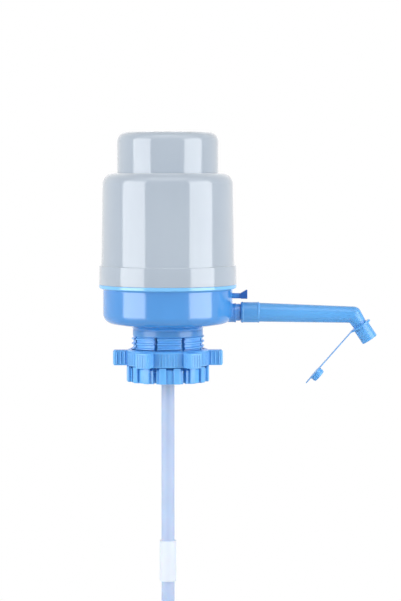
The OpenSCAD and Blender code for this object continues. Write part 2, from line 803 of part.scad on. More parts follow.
// Outer cover: shell with a rounded shoulder, an opening for the cap and a wider collar
module outer_cover() {
    top_c = [cover_top_r - cover_corner_r, shoulder_z - shoulder_fall - cover_corner_r];
    collar_z = bowl_h + collar_h;
    color(grey)
        difference() {
            union() {
                rotate_extrude()
                    polygon(concat(
                        [[opening_r, shoulder_z - cover_bevel], [opening_r + cover_bevel, shoulder_z]],
                        arc(top_c, cover_corner_r, 90, 0),
                        [
                            [cover_foot_r, collar_z + cover_bevel],
                            [collar_r - collar_draft - cover_bevel, collar_z],
                            [collar_r - collar_draft, collar_z - cover_bevel], [collar_r, bowl_h],
                            [cover_bore_r, bowl_h], [cover_bore_r, collar_z - collar_wall - collar_slope_h],
                            [cover_foot_r - cover_wall, collar_z]
                        ],
                        arc(top_c, cover_corner_r - cover_wall, 0, 90),
                        [[opening_r, shoulder_z - shoulder_t]]
                    ));
                ring(guide_r + guide_wall, guide_r, shoulder_z - guide_l, guide_l - shoulder_t + join);
            }
            translate([0, 0, bead_z - stop_gap])
                ring(cover_bore_r + bead_out, cover_bore_r - cut, 0, bead_h + 2*stop_gap);
        }
}

// Base bowl: chamber, tube socket, water pipe, nozzle and vent boss in one moulding
module base_bowl() {
    color(blue)
        difference() {
            union() {
                rotate_extrude()
                    polygon(bowl_outline());
                translate([0, 0, -socket_depth])
                    cylinder(h = socket_depth + nozzle_z + pipe_r, r = socket_r);
                bar_x(0, inner_r + join, pipe_r, nozzle_z);
                bar_x(inner_r - nozzle_boss_in, boss_x, nozzle_boss_r, nozzle_z - nozzle_boss_drop);
                bar_x(boss_x - join, nozzle_shoulder_x, nozzle_shoulder_r, nozzle_z);
                bar_x(nozzle_shoulder_x - join, spigot_end_x - spigot_bevel, spigot_r, nozzle_z);
                bar_x(spigot_end_x - spigot_bevel, spigot_end_x, spigot_r, nozzle_z, spigot_r - spigot_bevel);
                bar_x(vent_seat_x, inner_r + join, vent_boss_r, vent_z);
            }
            translate([0, 0, -socket_depth - cut])
                cylinder(h = socket_depth + cut + tube_top_z, r = tube_r + run_gap);
            translate([0, 0, tube_top_z - cut])
                cylinder(h = nozzle_z - tube_top_z + cut, r = nozzle_bore_r);
            translate([0, 0, nozzle_z])
                sphere(r = nozzle_bore_r);
            bar_x(0, spigot_end_x + cut, nozzle_bore_r, nozzle_z);
            o_ring_groove();
            bar_x(vent_seat_x - cut, bowl_r + cut, vent_hole_r, vent_z);
            round_z(air_hole_count, air_hole_turn)
                translate([air_circle_r, 0, gasket_t - cut])
                    cylinder(h = floor_z - gasket_t + 2*cut, r = air_hole_r);
            deck_screw_holes();
        }
}

// Groove for the O-ring
module o_ring_groove() {
    translate([o_ring_x, 0, nozzle_z])
        rotate([0, 90, 0])
            translate([0, 0, -groove_w/2])
                difference() {
                    cylinder(h = groove_w, r = spigot_r + cut);
                    translate([0, 0, -cut])
                        cylinder(h = groove_w + 2*cut, r = spigot_r - o_ring_d);
                }
}

// Half section of the bowl, from the floor's middle round to the gasket's pocket
function bowl_outline() = concat(
    [[0, floor_z], [flat_floor_r, floor_z]],
    arc(corner_c, inner_corner_r, -90 + slope_angle, 0),
    [
        [inner_r, ledge_z - ledge_t], [inner_r - ledge_w, ledge_z - ledge_t], [inner_r - ledge_w, ledge_z],
        [inner_r, ledge_z], [inner_r, upstand_top_z], [upstand_r - upstand_bevel, upstand_top_z],
        [upstand_r, upstand_top_z - upstand_bevel], [upstand_r, bead_z + bead_h],
        [upstand_r + bead_out, bead_z + bead_h/2], [upstand_r, bead_z],
        [upstand_r, bowl_h], [rim_r, bowl_h], [rim_r, bowl_h - rim_h],
        [bowl_r, bowl_h - rim_h - rim_chamfer_h]
    ],
    arc(corner_c, bowl_corner_r, 0, -90 + slope_angle),
    arc([bowl_neck_r + neck_fillet_r, seam_z], neck_fillet_r, 90 + slope_angle, 180),
    [
        [centring_r, seam_z], [centring_r, -centring_depth],
        [pocket_r, -centring_depth], [pocket_r, gasket_t], [0, gasket_t]
    ]
);

// Gasket that seals on the neck's mouth
module neck_gasket() {
    color(pale_rubber)
        ring(pocket_r - run_gap, gasket_bore_r, 0, gasket_t);
}

// Collet: a ring and threaded fingers whose pads close on the neck
module collet() {
    color(sky)
        difference() {
            union() {
                translate([0, 0, collet_ring_z])
                    cylinder(h = seam_z - collet_ring_z, r = bowl_neck_r);
                for (i = [0:finger_count - 1])
                    rotate([0, 0, slot_turn + 360*(i + 0.5)/finger_count])
                        collet_finger(i/finger_count);
            }
            rotate_extrude()
                polygon(collet_inside());
            collet_slots();
        }
}

// Half section of the space inside the collet, with the eight pads round its foot
function collet_inside() = [
    [0, seam_z + cut], [collet_bore_r, seam_z + cut], [collet_bore_r, lead_top_z],
    [pad_r_in, pad_top_z], [pad_r_in, -collet_depth + pad_bevel],
    [pad_r_in + pad_bevel + cut, -collet_depth - cut], [0, -collet_depth - cut]
];

// One finger about +X; turn is the part of a pitch that its thread is shifted by
module collet_finger(turn) {
    half = 180/finger_count - finger_gap;
    rotate([0, 0, -half])
        rotate_extrude(angle = 2*half)
            polygon(finger_outline(turn));
    for (side = [-1, 1])
        rotate([0, 0, side*rib_offset_angle - rib_angle/2])
            rotate_extrude(angle = rib_angle)
                polygon([
                    [skirt_r - join, skirt_top_z], [rib_r - rib_bevel, skirt_top_z],
                    [rib_r, skirt_top_z - rib_bevel], [rib_r, -collet_depth + rib_bevel],
                    [rib_r - rib_bevel, -collet_depth], [skirt_r - join, -collet_depth]
                ]);
}

// Half section of a finger before its inside is cut, down its threaded outside first
function finger_outline(turn) =
    let (
        z_first = collet_ring_z - thread_pitch*turn,
        count = floor((z_first - skirt_top_z - cut)/thread_pitch),
        teeth = [for (i = [0:count - 1]) let (z = z_first - thread_pitch*i) each [
            [thread_root_r, z], [thread_crest_r, z - thread_pitch*crest_start],
            [thread_crest_r, z - thread_pitch*crest_end], [thread_root_r, z - thread_pitch*flank_end]]]
    )
    concat(
        [[thread_root_r, collet_ring_z + join]],
        teeth,
        [
            [thread_root_r, skirt_top_z + rib_bevel], [thread_crest_r, skirt_top_z],
            [skirt_r, skirt_top_z - skirt_out], [skirt_r, -collet_depth], [skirt_r - skirt_wall, -collet_depth],
            [skirt_r - skirt_wall, hollow_z], [pad_r_in + pad_wall, hollow_z],
            [pad_r_in + pad_wall, -collet_depth], [pad_r_in - cut, -collet_depth],
            [pad_r_in - cut, collet_ring_z + join]
        ]
    );

// Slots between the fingers
module collet_slots() {
    for (i = [0:finger_count - 1])
        rotate([0, 0, slot_turn + 360*i/finger_count])
            translate([neck_r - cut, -slot_w/2, -collet_depth - cut])
                cube([rib_r - neck_r + 2*cut, slot_w, collet_depth + cut - slot_top]);
}

// Outline of the clamp nut's lobes, drawn in by an inset
module nut_outline(inset) {
    corner = lobe_corner_r;
    circle(r = nut_hub_r - inset);
    for (i = [0:lobe_count - 1])
        rotate([0, 0, lobe_turn + 360*i/lobe_count]) {
            tip = lobe_tip_r - inset;
            half = lobe_w/2 - inset;
            translate([0, -half])
                square([tip - corner, 2*half]);
            translate([0, corner - half])
                square([tip, 2*half - 2*corner]);
            for (side = [-1, 1])
                translate([tip - corner, side*(half - corner)])
                    circle(r = corner, $fn = 32);
        }
}

// Clamp nut: a lobed ring that drives the fingers together
module clamp_nut() {
    bevel = nut_bevel;
    lead = nut_wall*0.35;
    color(sky)
        difference() {
            union() {
                translate([0, 0, nut_bottom_z])
                    linear_extrude(height = bevel)
                        nut_outline(bevel);
                translate([0, 0, nut_bottom_z + bevel])
                    linear_extrude(height = nut_h - 2*bevel)
                        nut_outline(0);
                translate([0, 0, lobes_top_z - bevel])
                    linear_extrude(height = bevel)
                        nut_outline(bevel);
                translate([0, 0, lobes_top_z - join])
                    cylinder(
                        h = nut_collar_h + join,
                        r1 = nut_hub_r - bevel, r2 = nut_hub_r - bevel - nut_collar_taper
                    );
                nut_grips();
            }
            translate([0, 0, nut_bottom_z - cut])
                cylinder(h = nut_h + nut_collar_h + 2*cut, r = nut_bore_r);
            translate([0, 0, nut_bottom_z - stop_gap])
                cylinder(h = lead, r1 = nut_bore_r + lead, r2 = nut_bore_r);
        }
}

// Upright grip ribs on the hub between the lobes and on the lobes' flanks
module nut_grips() {
    grip_h = nut_h - 4*nut_bevel;
    translate([0, 0, nut_bottom_z + 2*nut_bevel])
        for (i = [0:lobe_count - 1])
            rotate([0, 0, lobe_turn + 360*i/lobe_count]) {
                for (side = [-1, 1], k = [0:2])
                    translate([nut_hub_r + 4*grip_r + grip_pitch*k, side*lobe_w/2, 0])
                        cylinder(h = grip_h, r = grip_r, $fn = 24);
                for (k = [-3:3])
                    rotate([0, 0, 180/lobe_count + hub_grip_angle*k])
                        translate([nut_hub_r, 0, 0])
                            cylinder(h = grip_h, r = grip_r, $fn = 24);
            }
}

// Upper length of the dip tube
module dip_tube_upper() {
    color(milky)
        ring(tube_r, tube_bore_r, -tube_joint_depth + coupler_stop/2, tube_top_z + tube_joint_depth - coupler_stop/2);
}

// Lower length of the dip tube
module dip_tube_lower() {
    color(milky)
        ring(tube_r, tube_bore_r, -tube_depth, tube_depth - tube_joint_depth - coupler_stop/2);
}

// Coupler that joins the two lengths, with a stop between them
module tube_coupler() {
    color(milky)
        difference() {
            ring(tube_r + coupler_wall, tube_bore_r, -tube_joint_depth - coupler_l/2, coupler_l);
            for (side = [0, 1])
                mirror([0, 0, side])
                    translate([0, 0, (side == 0 ? -1 : 1)*tube_joint_depth + coupler_stop/2])
                        cylinder(h = coupler_l, r = tube_r + run_gap);
        }
}

// O-ring in the spigot's groove
module nozzle_o_ring() {
    color(dark_rubber)
        translate([o_ring_x, 0, nozzle_z])
            rotate([0, 90, 0])
                rotate_extrude()
                    translate([spigot_r - o_ring_d/2, 0])
                        circle(r = o_ring_d/2 - run_gap/2, $fn = 32);
}

// Children placed in the leg's own frame: z along the leg, x towards the strap
module at_leg() {
    translate([elbow_x, 0, elbow_z])
        rotate([0, leg_tilt, 0])
            children();
}

// Spout: socket, falling tube, elbow and leg
module spout() {
    chamfer = socket_chamfer;
    color(sky)
        difference() {
            union() {
                bar_x(socket_x, socket_x + chamfer, spout_socket_r - chamfer, nozzle_z, spout_socket_r);
                bar_x(socket_x + chamfer, socket_end_x - chamfer, spout_socket_r, nozzle_z);
                bar_x(socket_end_x - chamfer, socket_end_x, spout_socket_r, nozzle_z, spout_socket_r - chamfer);
                translate([socket_end_x, 0, nozzle_z])
                    rotate([0, 90 + spout_fall, 0])
                        translate([0, 0, -chamfer])
                            cylinder(h = spout_l + chamfer, r1 = spout_root_r, r2 = spout_end_r);
                translate([elbow_x, 0, elbow_z])
                    sphere(r = spout_end_r + elbow_swell);
                at_leg()
                    rotate_extrude()
                        polygon([
                            [0, 0], [spout_end_r, 0], [leg_r, leg_l],
                            [leg_r, leg_l + leg_in_ring], [0, leg_l + leg_in_ring]
                        ]);
            }
            bar_x(socket_x - cut, spigot_end_x + stop_gap, spigot_r + run_gap, nozzle_z);
            translate([socket_end_x, 0, nozzle_z])
                rotate([0, 90 + spout_fall, 0])
                    translate([0, 0, spigot_end_x - socket_end_x - cut])
                        cylinder(h = spout_l + socket_end_x - spigot_end_x + cut, r = spout_bore_r);
            translate([elbow_x, 0, elbow_z])
                sphere(r = spout_bore_r + elbow_swell);
            at_leg()
                cylinder(h = leg_l + leg_in_ring + cut, r = spout_bore_r);
        }
}

// Children placed in the ring's frame: origin on the axis at the flange's back
module at_ring() {
    at_leg()
        translate([0, 0, leg_l])
            children();
}

// Spout ring: sleeve and flange on the leg's end, with the strap's root
module spout_ring() {
    color(sky)
        at_ring()
            difference() {
                union() {
                    cylinder(h = ring_l, r = ring_bore_r + ring_wall);
                    cylinder(h = ring_flange_t, r = ring_flange_r);
                    translate([0, -strap_root_w/2, 0])
                        cube([hinge_a[0], strap_root_w, ring_flange_t]);
                }
                translate([0, 0, -cut])
                    cylinder(h = leg_in_ring + 2*cut, r = leg_r + run_gap);
                translate([0, 0, leg_in_ring])
                    cylinder(h = ring_l - leg_in_ring + cut, r = ring_bore_r);
                hinge_cut(hinge_a, strap_root_w);
            }
}

// Round seat for the hinge bead of the next stretch of strap, at p
module hinge_cut(p, w) {
    translate([p[0], w/2 + cut, p[1]])
        rotate([90, 0, 0])
            cylinder(h = w + 2*cut, r = hinge_bead_r + run_gap, $fn = 48);
}

// Children placed on the strap's line at rest: x along it from the first hinge
module at_strap() {
    at_ring()
        translate([hinge_a[0], 0, hinge_a[1]])
            rotate([0, -strap_rest_angle, 0])
                children();
}

// Stretch of strap from x0 to x1 with a bead at its root and a notch at each hinge
module strap_stretch(x0, x1, notch_root, notch_end) {
    h = strap_t/2;
    translate([0, strap_w/2, 0])
        rotate([90, 0, 0])
            linear_extrude(height = strap_w)
                union() {
                    polygon([
                        [x0, -h], [x1, -h], [x1, notch_end ? 0 : h], [x1 - notch_l, h],
                        [x0 + notch_l, h], [x0, notch_root ? 0 : h]
                    ]);
                    translate([x0, 0])
                        circle(r = hinge_bead_r, $fn = 48);
                }
}

// First stretch of the strap, from the ring to the fold
module strap_link() {
    color(sky)
        at_strap()
            difference() {
                strap_stretch(0, link_l, true, true);
                hinge_cut([link_l, 0], strap_w);
            }
}

// Second stretch of the strap, with the pad and the pull tab
module cap_strap() {
    color(sky)
        at_strap() {
            strap_stretch(link_l, strap_l, true, false);
            translate([strap_l, 0, -strap_t/2]) {
                cylinder(h = strap_t, r = pad_r);
                translate([0, -strap_w/2, 0])
                    cube([pull_tab_reach - strap_w/2, strap_w, strap_t]);
                translate([pull_tab_reach - strap_w/2, 0, 0])
                    cylinder(h = strap_t, r = strap_w/2);
            }
        }
}

// Plug that closes the ring's mouth
module spout_plug() {
    base_r = plug_r + plug_base_out;
    color(sky)
        at_strap()
            translate([strap_l, 0, strap_t/2])
                rotate_extrude()
                    polygon([
                        [0, 0], [base_r, 0], [base_r, plug_base_h], [plug_r, plug_base_h],
                        [plug_r, plug_h - plug_lead], [plug_r - plug_lead, plug_h],
                        [plug_r - plug_wall, plug_h], [plug_r - plug_wall, 2*plug_base_h], [0, 2*plug_base_h]
                    ]);
}

// Vent stem: thumb head outside, collar and tail inside
module vent_stem() {
    head_x = bowl_r + vent_reach;
    tail_x = cage_end_x - cage_wall - stop_gap;
    color(blue) {
        bar_x(stem_collar_x, head_x + join, vent_stem_r, vent_z);
        bar_x(stem_collar_x, stem_collar_x + stem_collar_t, vent_seal_r, vent_z);
        bar_x(tail_x, stem_collar_x + join, stem_tail_r, vent_z);
        translate([head_x, vent_head_w/2, vent_z])
            rotate([90, 0, 0])
                linear_extrude(height = vent_head_w)
                    polygon([
                        [0, -vent_head_drop], [vent_head_l, -vent_head_drop], [vent_head_l, vent_tip_rise],
                        [vent_head_l - vent_tip_w, vent_tip_rise], [0, vent_root_rise]
                    ]);
    }
}

// Seal that the spring holds on the vent's seat
module vent_seal() {
    color(dark_rubber)
        difference() {
            bar_x(vent_seat_x - vent_seal_t, vent_seat_x, vent_seal_r, vent_z);
            bar_x(vent_seat_x - vent_seal_t - cut, vent_seat_x + cut, vent_stem_r + run_gap, vent_z);
        }
}

// Spring that pushes the vent's stem out
module vent_spring() {
    x0 = cage_end_x + cage_wall + vent_wire_r + stop_gap;
    x1 = stem_collar_x - vent_wire_r - stop_gap;
    color(steel)
        translate([x0, 0, vent_z])
            rotate([0, 90, 0])
                coil(vent_spring_r, vent_wire_r, (x1 - x0)/vent_spring_turns, vent_spring_turns);
}

// Cage that holds the spring and guides the stem's tail
module vent_cage() {
    color(milky)
        difference() {
            bar_x(cage_end_x, vent_seat_x + cage_grip, cage_bore_r + cage_wall, vent_z);
            bar_x(cage_end_x + cage_wall, vent_seat_x + cage_grip + cut, cage_bore_r, vent_z);
            bar_x(cage_end_x - cut, cage_end_x + cage_wall + cut, stem_tail_r + run_gap, vent_z);
            for (turn = [0, 90])
                translate([cage_end_x + 2*cage_wall, 0, vent_z])
                    rotate([turn, 0, 0])
                        translate([0, -window_w/2, -cage_l])
                            cube([cage_l/2, window_w, 2*cage_l]);
        }
}

press_cap();
cap_screws();
bellows_plate();
intake_valve();
bellows();
return_spring();
bellows_ring();
valve_deck();
deck_gasket();
deck_screws();
outlet_valve();
outer_cover();
base_bowl();
neck_gasket();
collet();
clamp_nut();
dip_tube_upper();
tube_coupler();
dip_tube_lower();
nozzle_o_ring();
spout();
spout_ring();
strap_link();
cap_strap();
spout_plug();
vent_stem();
vent_seal();
vent_spring();
vent_cage();
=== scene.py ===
"""Dressed scene of a press-to-pour pump: shells, clamp, spout and strap, light and camera.

Every size in the classes is in millimetres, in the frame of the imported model: the origin is the
centre of the mouth seat, +Z is up and +X runs along the spout. Meshes are in metres.
"""

import logging
import math
import time
from dataclasses import dataclass
from enum import Enum

import bpy
from mathutils import Matrix, Vector


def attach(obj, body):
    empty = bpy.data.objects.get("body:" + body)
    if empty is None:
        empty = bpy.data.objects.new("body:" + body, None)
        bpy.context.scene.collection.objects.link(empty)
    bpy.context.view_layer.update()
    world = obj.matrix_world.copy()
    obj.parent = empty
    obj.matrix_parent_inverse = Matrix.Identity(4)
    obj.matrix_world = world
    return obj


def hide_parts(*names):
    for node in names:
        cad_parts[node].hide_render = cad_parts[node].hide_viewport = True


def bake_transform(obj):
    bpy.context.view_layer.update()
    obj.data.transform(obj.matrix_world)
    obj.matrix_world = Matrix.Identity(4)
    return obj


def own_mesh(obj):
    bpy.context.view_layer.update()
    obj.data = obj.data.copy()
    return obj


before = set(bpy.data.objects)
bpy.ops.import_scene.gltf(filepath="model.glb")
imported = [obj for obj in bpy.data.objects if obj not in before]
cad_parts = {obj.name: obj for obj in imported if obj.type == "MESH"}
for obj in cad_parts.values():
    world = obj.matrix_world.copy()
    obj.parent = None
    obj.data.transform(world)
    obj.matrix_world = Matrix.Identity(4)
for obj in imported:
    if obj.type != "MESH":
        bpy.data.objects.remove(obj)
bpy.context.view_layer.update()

MM = 0.001
MERGE = 1e-6
START = time.monotonic()

log = logging.getLogger("pump")

Point = tuple[float, float]
Place = tuple[float, float, float]
Colour = tuple[float, float, float, float]


# ---------------------------------------------------------------- shapes


class Mix(Enum):
    """How a second shape changes the first."""

    ADD = "UNION"
    CUT = "DIFFERENCE"


@dataclass(frozen=True)
class Corner:
    """A corner of a half section: distance from the axis, height, and its fillet's radius."""

    r: float
    z: float
    fillet: float = 0.0
    steps: int = 5


@dataclass(frozen=True)
class Station:
    """One ring of a sweep in the plane of the spout: its centre, radius and tilt from +Z to +X."""

    x: float
    z: float
    r: float
    tilt: float = 0.0


def rounded(corners: list[Corner], closed: bool = False) -> list[Point]:
    """Turn corners into the points of a half section, each fillet as an arc.

    Args:
        corners: The corners in order.
        closed: Whether the last corner runs on to the first.

    Returns:
        The points as (r, z).
    """
    points: list[Point] = []
    last = len(corners) - 1
    for i, corner in enumerate(corners):
        if corner.fillet == 0 or (not closed and i in (0, last)):
            points.append((corner.r, corner.z))
            continue
        here = Vector((corner.r, corner.z))
        back, ahead = corners[i - 1], corners[0 if i == last else i + 1]
        to_back = (Vector((back.r, back.z)) - here).normalized()
        to_ahead = (Vector((ahead.r, ahead.z)) - here).normalized()
        half = to_back.angle(to_ahead) / 2
        centre = here + (to_back + to_ahead).normalized() * corner.fillet / math.sin(half)
        start = here + to_back * corner.fillet / math.tan(half) - centre
        end = here + to_ahead * corner.fillet / math.tan(half) - centre
        swing = math.atan2(start.x * end.y - start.y * end.x, start.dot(end))
        for step in range(corner.steps + 1):
            turned = Matrix.Rotation(swing * step / corner.steps, 2) @ start
            points.append(tuple(centre + turned))
    return points


def deselect() -> None:
    """Deselect every object."""
    bpy.ops.object.select_all(action="DESELECT")


def activate(piece: bpy.types.Object) -> None:
    """Make a piece the only selected and the active object.

    Args:
        piece: The piece.
    """
    deselect()
    piece.select_set(True)
    bpy.context.view_layer.objects.active = piece


def settle(piece: bpy.types.Object) -> None:
    """Move a piece's place, turn and scale into its mesh."""
    activate(piece)
    bpy.ops.object.transform_apply(location=True, rotation=True, scale=True)


def put(piece: bpy.types.Object, place: Place = (0, 0, 0), turn: Place = (0, 0, 0)) -> None:
    """Turn a piece, then move it, and keep both in its mesh.

    Args:
        piece: The piece.
        place: The move in millimetres.
        turn: The turn in degrees about X, Y and Z.
    """
    piece.rotation_euler = [math.radians(angle) for angle in turn]
    piece.location = [value * MM for value in place]
    settle(piece)


def open_mesh(action: str = "SELECT") -> None:
    """Open the active mesh for editing, with all of it selected or, by DESELECT, none."""
    bpy.ops.object.mode_set(mode="EDIT")
    bpy.ops.mesh.select_all(action=action)


def close_mesh() -> None:
    """Close the mesh, so that its points can be read and set."""
    bpy.ops.object.mode_set(mode="OBJECT")


def tidy_mesh(piece: bpy.types.Object) -> None:
    """Merge a mesh's doubles and turn all its faces outwards.

    Args:
        piece: The piece.
    """
    activate(piece)
    open_mesh()
    bpy.ops.mesh.remove_doubles(threshold=MERGE)
    bpy.ops.mesh.normals_make_consistent(inside=False)
    close_mesh()


def sweep(name: str, stations: list[Station], closed: bool = False, sides: int = 96) -> bpy.types.Object:
    """Extrude a ring from station to station.

    Args:
        name: The new piece's name.
        stations: The rings in order.
        closed: Whether the last ring runs on to the first, as in a shell with an inside.
        sides: The number of points on a ring.

    Returns:
        The swept piece, closed by flat faces or into itself.
    """
    deselect()
    first = stations[0]
    bpy.ops.mesh.primitive_circle_add(
        vertices=sides,
        radius=first.r * MM,
        fill_type="NOTHING" if closed else "NGON",
        location=(first.x * MM, 0, first.z * MM),
        rotation=(0, math.radians(first.tilt), 0),
    )
    piece = bpy.context.object
    piece.name = name
    settle(piece)
    open_mesh()
    path = stations + [first] if closed else stations
    for before, after in zip(path, path[1:]):
        step = ((after.x - before.x) * MM, 0, (after.z - before.z) * MM)
        centre = (after.x * MM, 0, after.z * MM)
        bpy.ops.mesh.extrude_region_move(TRANSFORM_OT_translate={"value": step})
        if after.r != before.r:
            bpy.ops.transform.resize(value=(after.r / before.r,) * 3, center_override=centre)
        if after.tilt != before.tilt:
            bpy.ops.transform.rotate(
                value=-math.radians(after.tilt - before.tilt), orient_axis="Y", center_override=centre
            )
    close_mesh()
    tidy_mesh(piece)
    return piece


def lathe(
    name: str, corners: list[Corner], closed: bool = False, sides: int = 128, axis_z: float | None = None
) -> bpy.types.Object:
    """Turn a half section about the pump's axis, or about an axis along +X.

    Args:
        name: The new piece's name.
        corners: The half section, as distance from the axis and place along it.
        closed: Whether the section closes on itself rather than ending on flat faces.
        sides: The number of points on a ring.
        axis_z: The height of an axis along +X, or None for the pump's own axis.

    Returns:
        The turned piece.
    """
    points = rounded(corners, closed)
    if axis_z is None:
        stations = [Station(0, z, r) for r, z in points]
    else:
        stations = [Station(x, axis_z, r, 90) for r, x in points]
    return sweep(name, stations, closed, sides)


def rod(name: str, r: float, z0: float, z1: float, sides: int = 32, ease: float = 0.3) -> bpy.types.Object:
    """Make a short turned pin on the pump's axis, with its ends eased.

    Args:
        name: The new piece's name.
        r: The radius.
        z0: The height of the lower end.
        z1: The height of the upper end.
        sides: The number of points on a ring.
        ease: The width of the chamfer at both ends.

    Returns:
        The pin.
    """
    section = [Corner(r - ease, z0), Corner(r, z0 + ease), Corner(r, z1 - ease), Corner(r - ease, z1)]
    return lathe(name, section, sides=sides)


def bar(name: str, r: float, x0: float, x1: float, axis_z: float, sides: int = 64) -> bpy.types.Object:
    """Make a straight round bar along +X."""
    return lathe(name, [Corner(r, x0), Corner(r, x1)], sides=sides, axis_z=axis_z)


def block(name: str, low: Place, high: Place, bevel: float = 0.0, segments: int = 2) -> bpy.types.Object:
    """Make a box between two corners.

    Args:
        name: The new piece's name.
        low: The lowest corner.
        high: The highest corner.
        bevel: The radius of its edges, or 0 for sharp ones.
        segments: The number of steps round an edge.

    Returns:
        The box.
    """
    deselect()
    bpy.ops.mesh.primitive_cube_add(
        size=1,
        location=[(a + b) / 2 * MM for a, b in zip(low, high)],
        scale=[(b - a) * MM for a, b in zip(low, high)],
    )
    piece = bpy.context.object
    piece.name = name
    settle(piece)
    if bevel:
        soften(piece, bevel, segments)
    return piece


def soften(piece: bpy.types.Object, width: float, segments: int = 2, angle: float = 40.0) -> None:
    """Round a piece's sharp edges with a bevel that is applied.

    Args:
        piece: The piece.
        width: The bevel's width in millimetres.
        segments: The number of steps round the bevel.
        angle: The least angle, in degrees, of an edge that is rounded.
    """
    activate(piece)
    modifier = piece.modifiers.new("soften", "BEVEL")
    modifier.width = width * MM
    modifier.segments = segments
    modifier.limit_method = "ANGLE"
    modifier.angle_limit = math.radians(angle)
    modifier.use_clamp_overlap = True
    bpy.ops.object.modifier_apply(modifier=modifier.name)


def blend_in(piece: bpy.types.Object, tool: bpy.types.Object, mix: Mix) -> None:
    """Add a tool's shape to a piece or cut it out, and delete the tool.

    Args:
        piece: The piece that changes.
        tool: The second shape.
        mix: How it changes the piece.
    """
    activate(piece)
    modifier = piece.modifiers.new("mix", "BOOLEAN")
    modifier.operation = mix.value
    modifier.solver = "EXACT"
    modifier.object = tool
    bpy.ops.object.modifier_apply(modifier=modifier.name)
    deselect()
    tool.select_set(True)
    bpy.ops.object.delete()


def twin(piece: bpy.types.Object) -> bpy.types.Object:
    """Copy a piece together with its mesh.

    Args:
        piece: The piece.

    Returns:
        The copy, in the scene's own collection.
    """
    copy = piece.copy()
    copy.data = piece.data.copy()
    bpy.context.scene.collection.objects.link(copy)
    return copy


def joined(pieces: list[bpy.types.Object]) -> bpy.types.Object:
    """Join pieces into the first of them.

    Args:
        pieces: The pieces.

    Returns:
        The first piece, which holds them all.
    """
    deselect()
    for piece in pieces:
        piece.select_set(True)
    bpy.context.view_layer.objects.active = pieces[0]
    if len(pieces) > 1:
        bpy.ops.object.join()
    return pieces[0]


def ring_of(piece: bpy.types.Object, angles: list[float]) -> bpy.types.Object:
    """Repeat a piece about the pump's axis, as one object.

    Args:
        piece: The piece, which becomes a part of the ring.
        angles: The angles in degrees.

    Returns:
        The ring.
    """
    pieces = [twin(piece) for _ in angles[1:]] + [piece]
    for copy, angle in zip(pieces, angles[1:] + angles[:1]):
        put(copy, turn=(0, 0, angle))
    return joined(pieces)


def round_angles(count: int, start: float = 0.0) -> list[float]:
    """Return the angles, in degrees, of things spaced evenly round a circle."""
    return [start + 360 * i / count for i in range(count)]


def smooth(piece: bpy.types.Object, angle: float = 32.0) -> None:
    """Shade a piece smooth across edges flatter than an angle in degrees."""
    activate(piece)
    bpy.ops.object.shade_smooth_by_angle(angle=math.radians(angle))


WIRE_SIDES = 12
TURN_STEPS = 30


def coil(name: str, r: float, wire: float, low: float, high: float, turns: int) -> bpy.types.Object:
    """Wind a wire spring on the pump's axis with a screw modifier.

    Args:
        name: The new piece's name.
        r: The mean radius.
        wire: The wire's radius.
        low: The height of the wire's middle at the lower end.
        high: The height of the wire's middle at the upper end.
        turns: The number of turns.

    Returns:
        The spring, closed at both ends.
    """
    deselect()
    bpy.ops.mesh.primitive_circle_add(
        vertices=WIRE_SIDES, radius=wire * MM, fill_type="NOTHING",
        location=(r * MM, 0, low * MM), rotation=(math.radians(90), 0, 0))
    spring = bpy.context.object
    spring.name = name
    settle(spring)
    wind(spring, (high - low) / turns, turns, TURN_STEPS)
    return spring


def wind(piece: bpy.types.Object, pitch: float, turns: int, steps: int) -> None:
    """Wind a closed outline about the pump's axis into a screw with closed ends.

    Args:
        piece: The outline.
        pitch: The rise of a turn in millimetres.
        turns: The number of turns.
        steps: The number of steps in a turn.
    """
    activate(piece)
    modifier = piece.modifiers.new("wind", "SCREW")
    modifier.axis = "Z"
    modifier.screw_offset = pitch * MM
    modifier.iterations = turns
    modifier.steps = steps
    modifier.render_steps = steps
    modifier.use_merge_vertices = False
    bpy.ops.object.modifier_apply(modifier=modifier.name)
    open_mesh("DESELECT")
    bpy.ops.mesh.select_mode(type="EDGE")
    bpy.ops.mesh.select_non_manifold()
    bpy.ops.mesh.edge_face_add()
    close_mesh()
    tidy_mesh(piece)


# ---------------------------------------------------------------- finishes


def linear(code: str, alpha: float = 1.0) -> Colour:
    """Turn an sRGB hex code into a linear colour.

    Args:
        code: The code, as #rrggbb.
        alpha: The fourth channel.

    Returns:
        The colour's four channels.
    """
    channels = [int(code[i:i + 2], 16) / 255 for i in (1, 3, 5)]
    low = [c / 12.92 if c <= 0.04045 else ((c + 0.055) / 1.055) ** 2.4 for c in channels]
    return (low[0], low[1], low[2], alpha)


def add_node(tree: bpy.types.NodeTree, kind: str, inputs: dict | None = None, **settings: object) -> bpy.types.Node:
    """Add a node with its settings, values and links.

    Args:
        tree: The node tree.
        kind: The node's type.
        inputs: Socket names or numbers, each with a value or with the socket that feeds it.
        settings: The node's own properties.

    Returns:
        The new node.
    """
    node = tree.nodes.new(kind)
    for key, value in settings.items():
        setattr(node, key, value)
    for key, value in (inputs or {}).items():
        if isinstance(value, bpy.types.NodeSocket):
            tree.links.new(value, node.inputs[key])
        else:
            node.inputs[key].default_value = value
    return node


def mapped(tree: bpy.types.NodeTree, value: bpy.types.NodeSocket, ends: Point, span: Point = (0.0, 1.0),
           **settings: object) -> bpy.types.NodeSocket:
    """Spread what a value does between two ends over a span, and hold it there beyond them.

    Args:
        tree: The node tree.
        value: The socket that gives the value.
        ends: The two values that matter.
        span: The results at these ends.
        settings: The node's own properties.

    Returns:
        The socket that gives the result.
    """
    return add_node(tree, "ShaderNodeMapRange", {
        "Value": value, "From Min": ends[0], "From Max": ends[1], "To Min": span[0], "To Max": span[1],
    }, **settings).outputs["Result"]


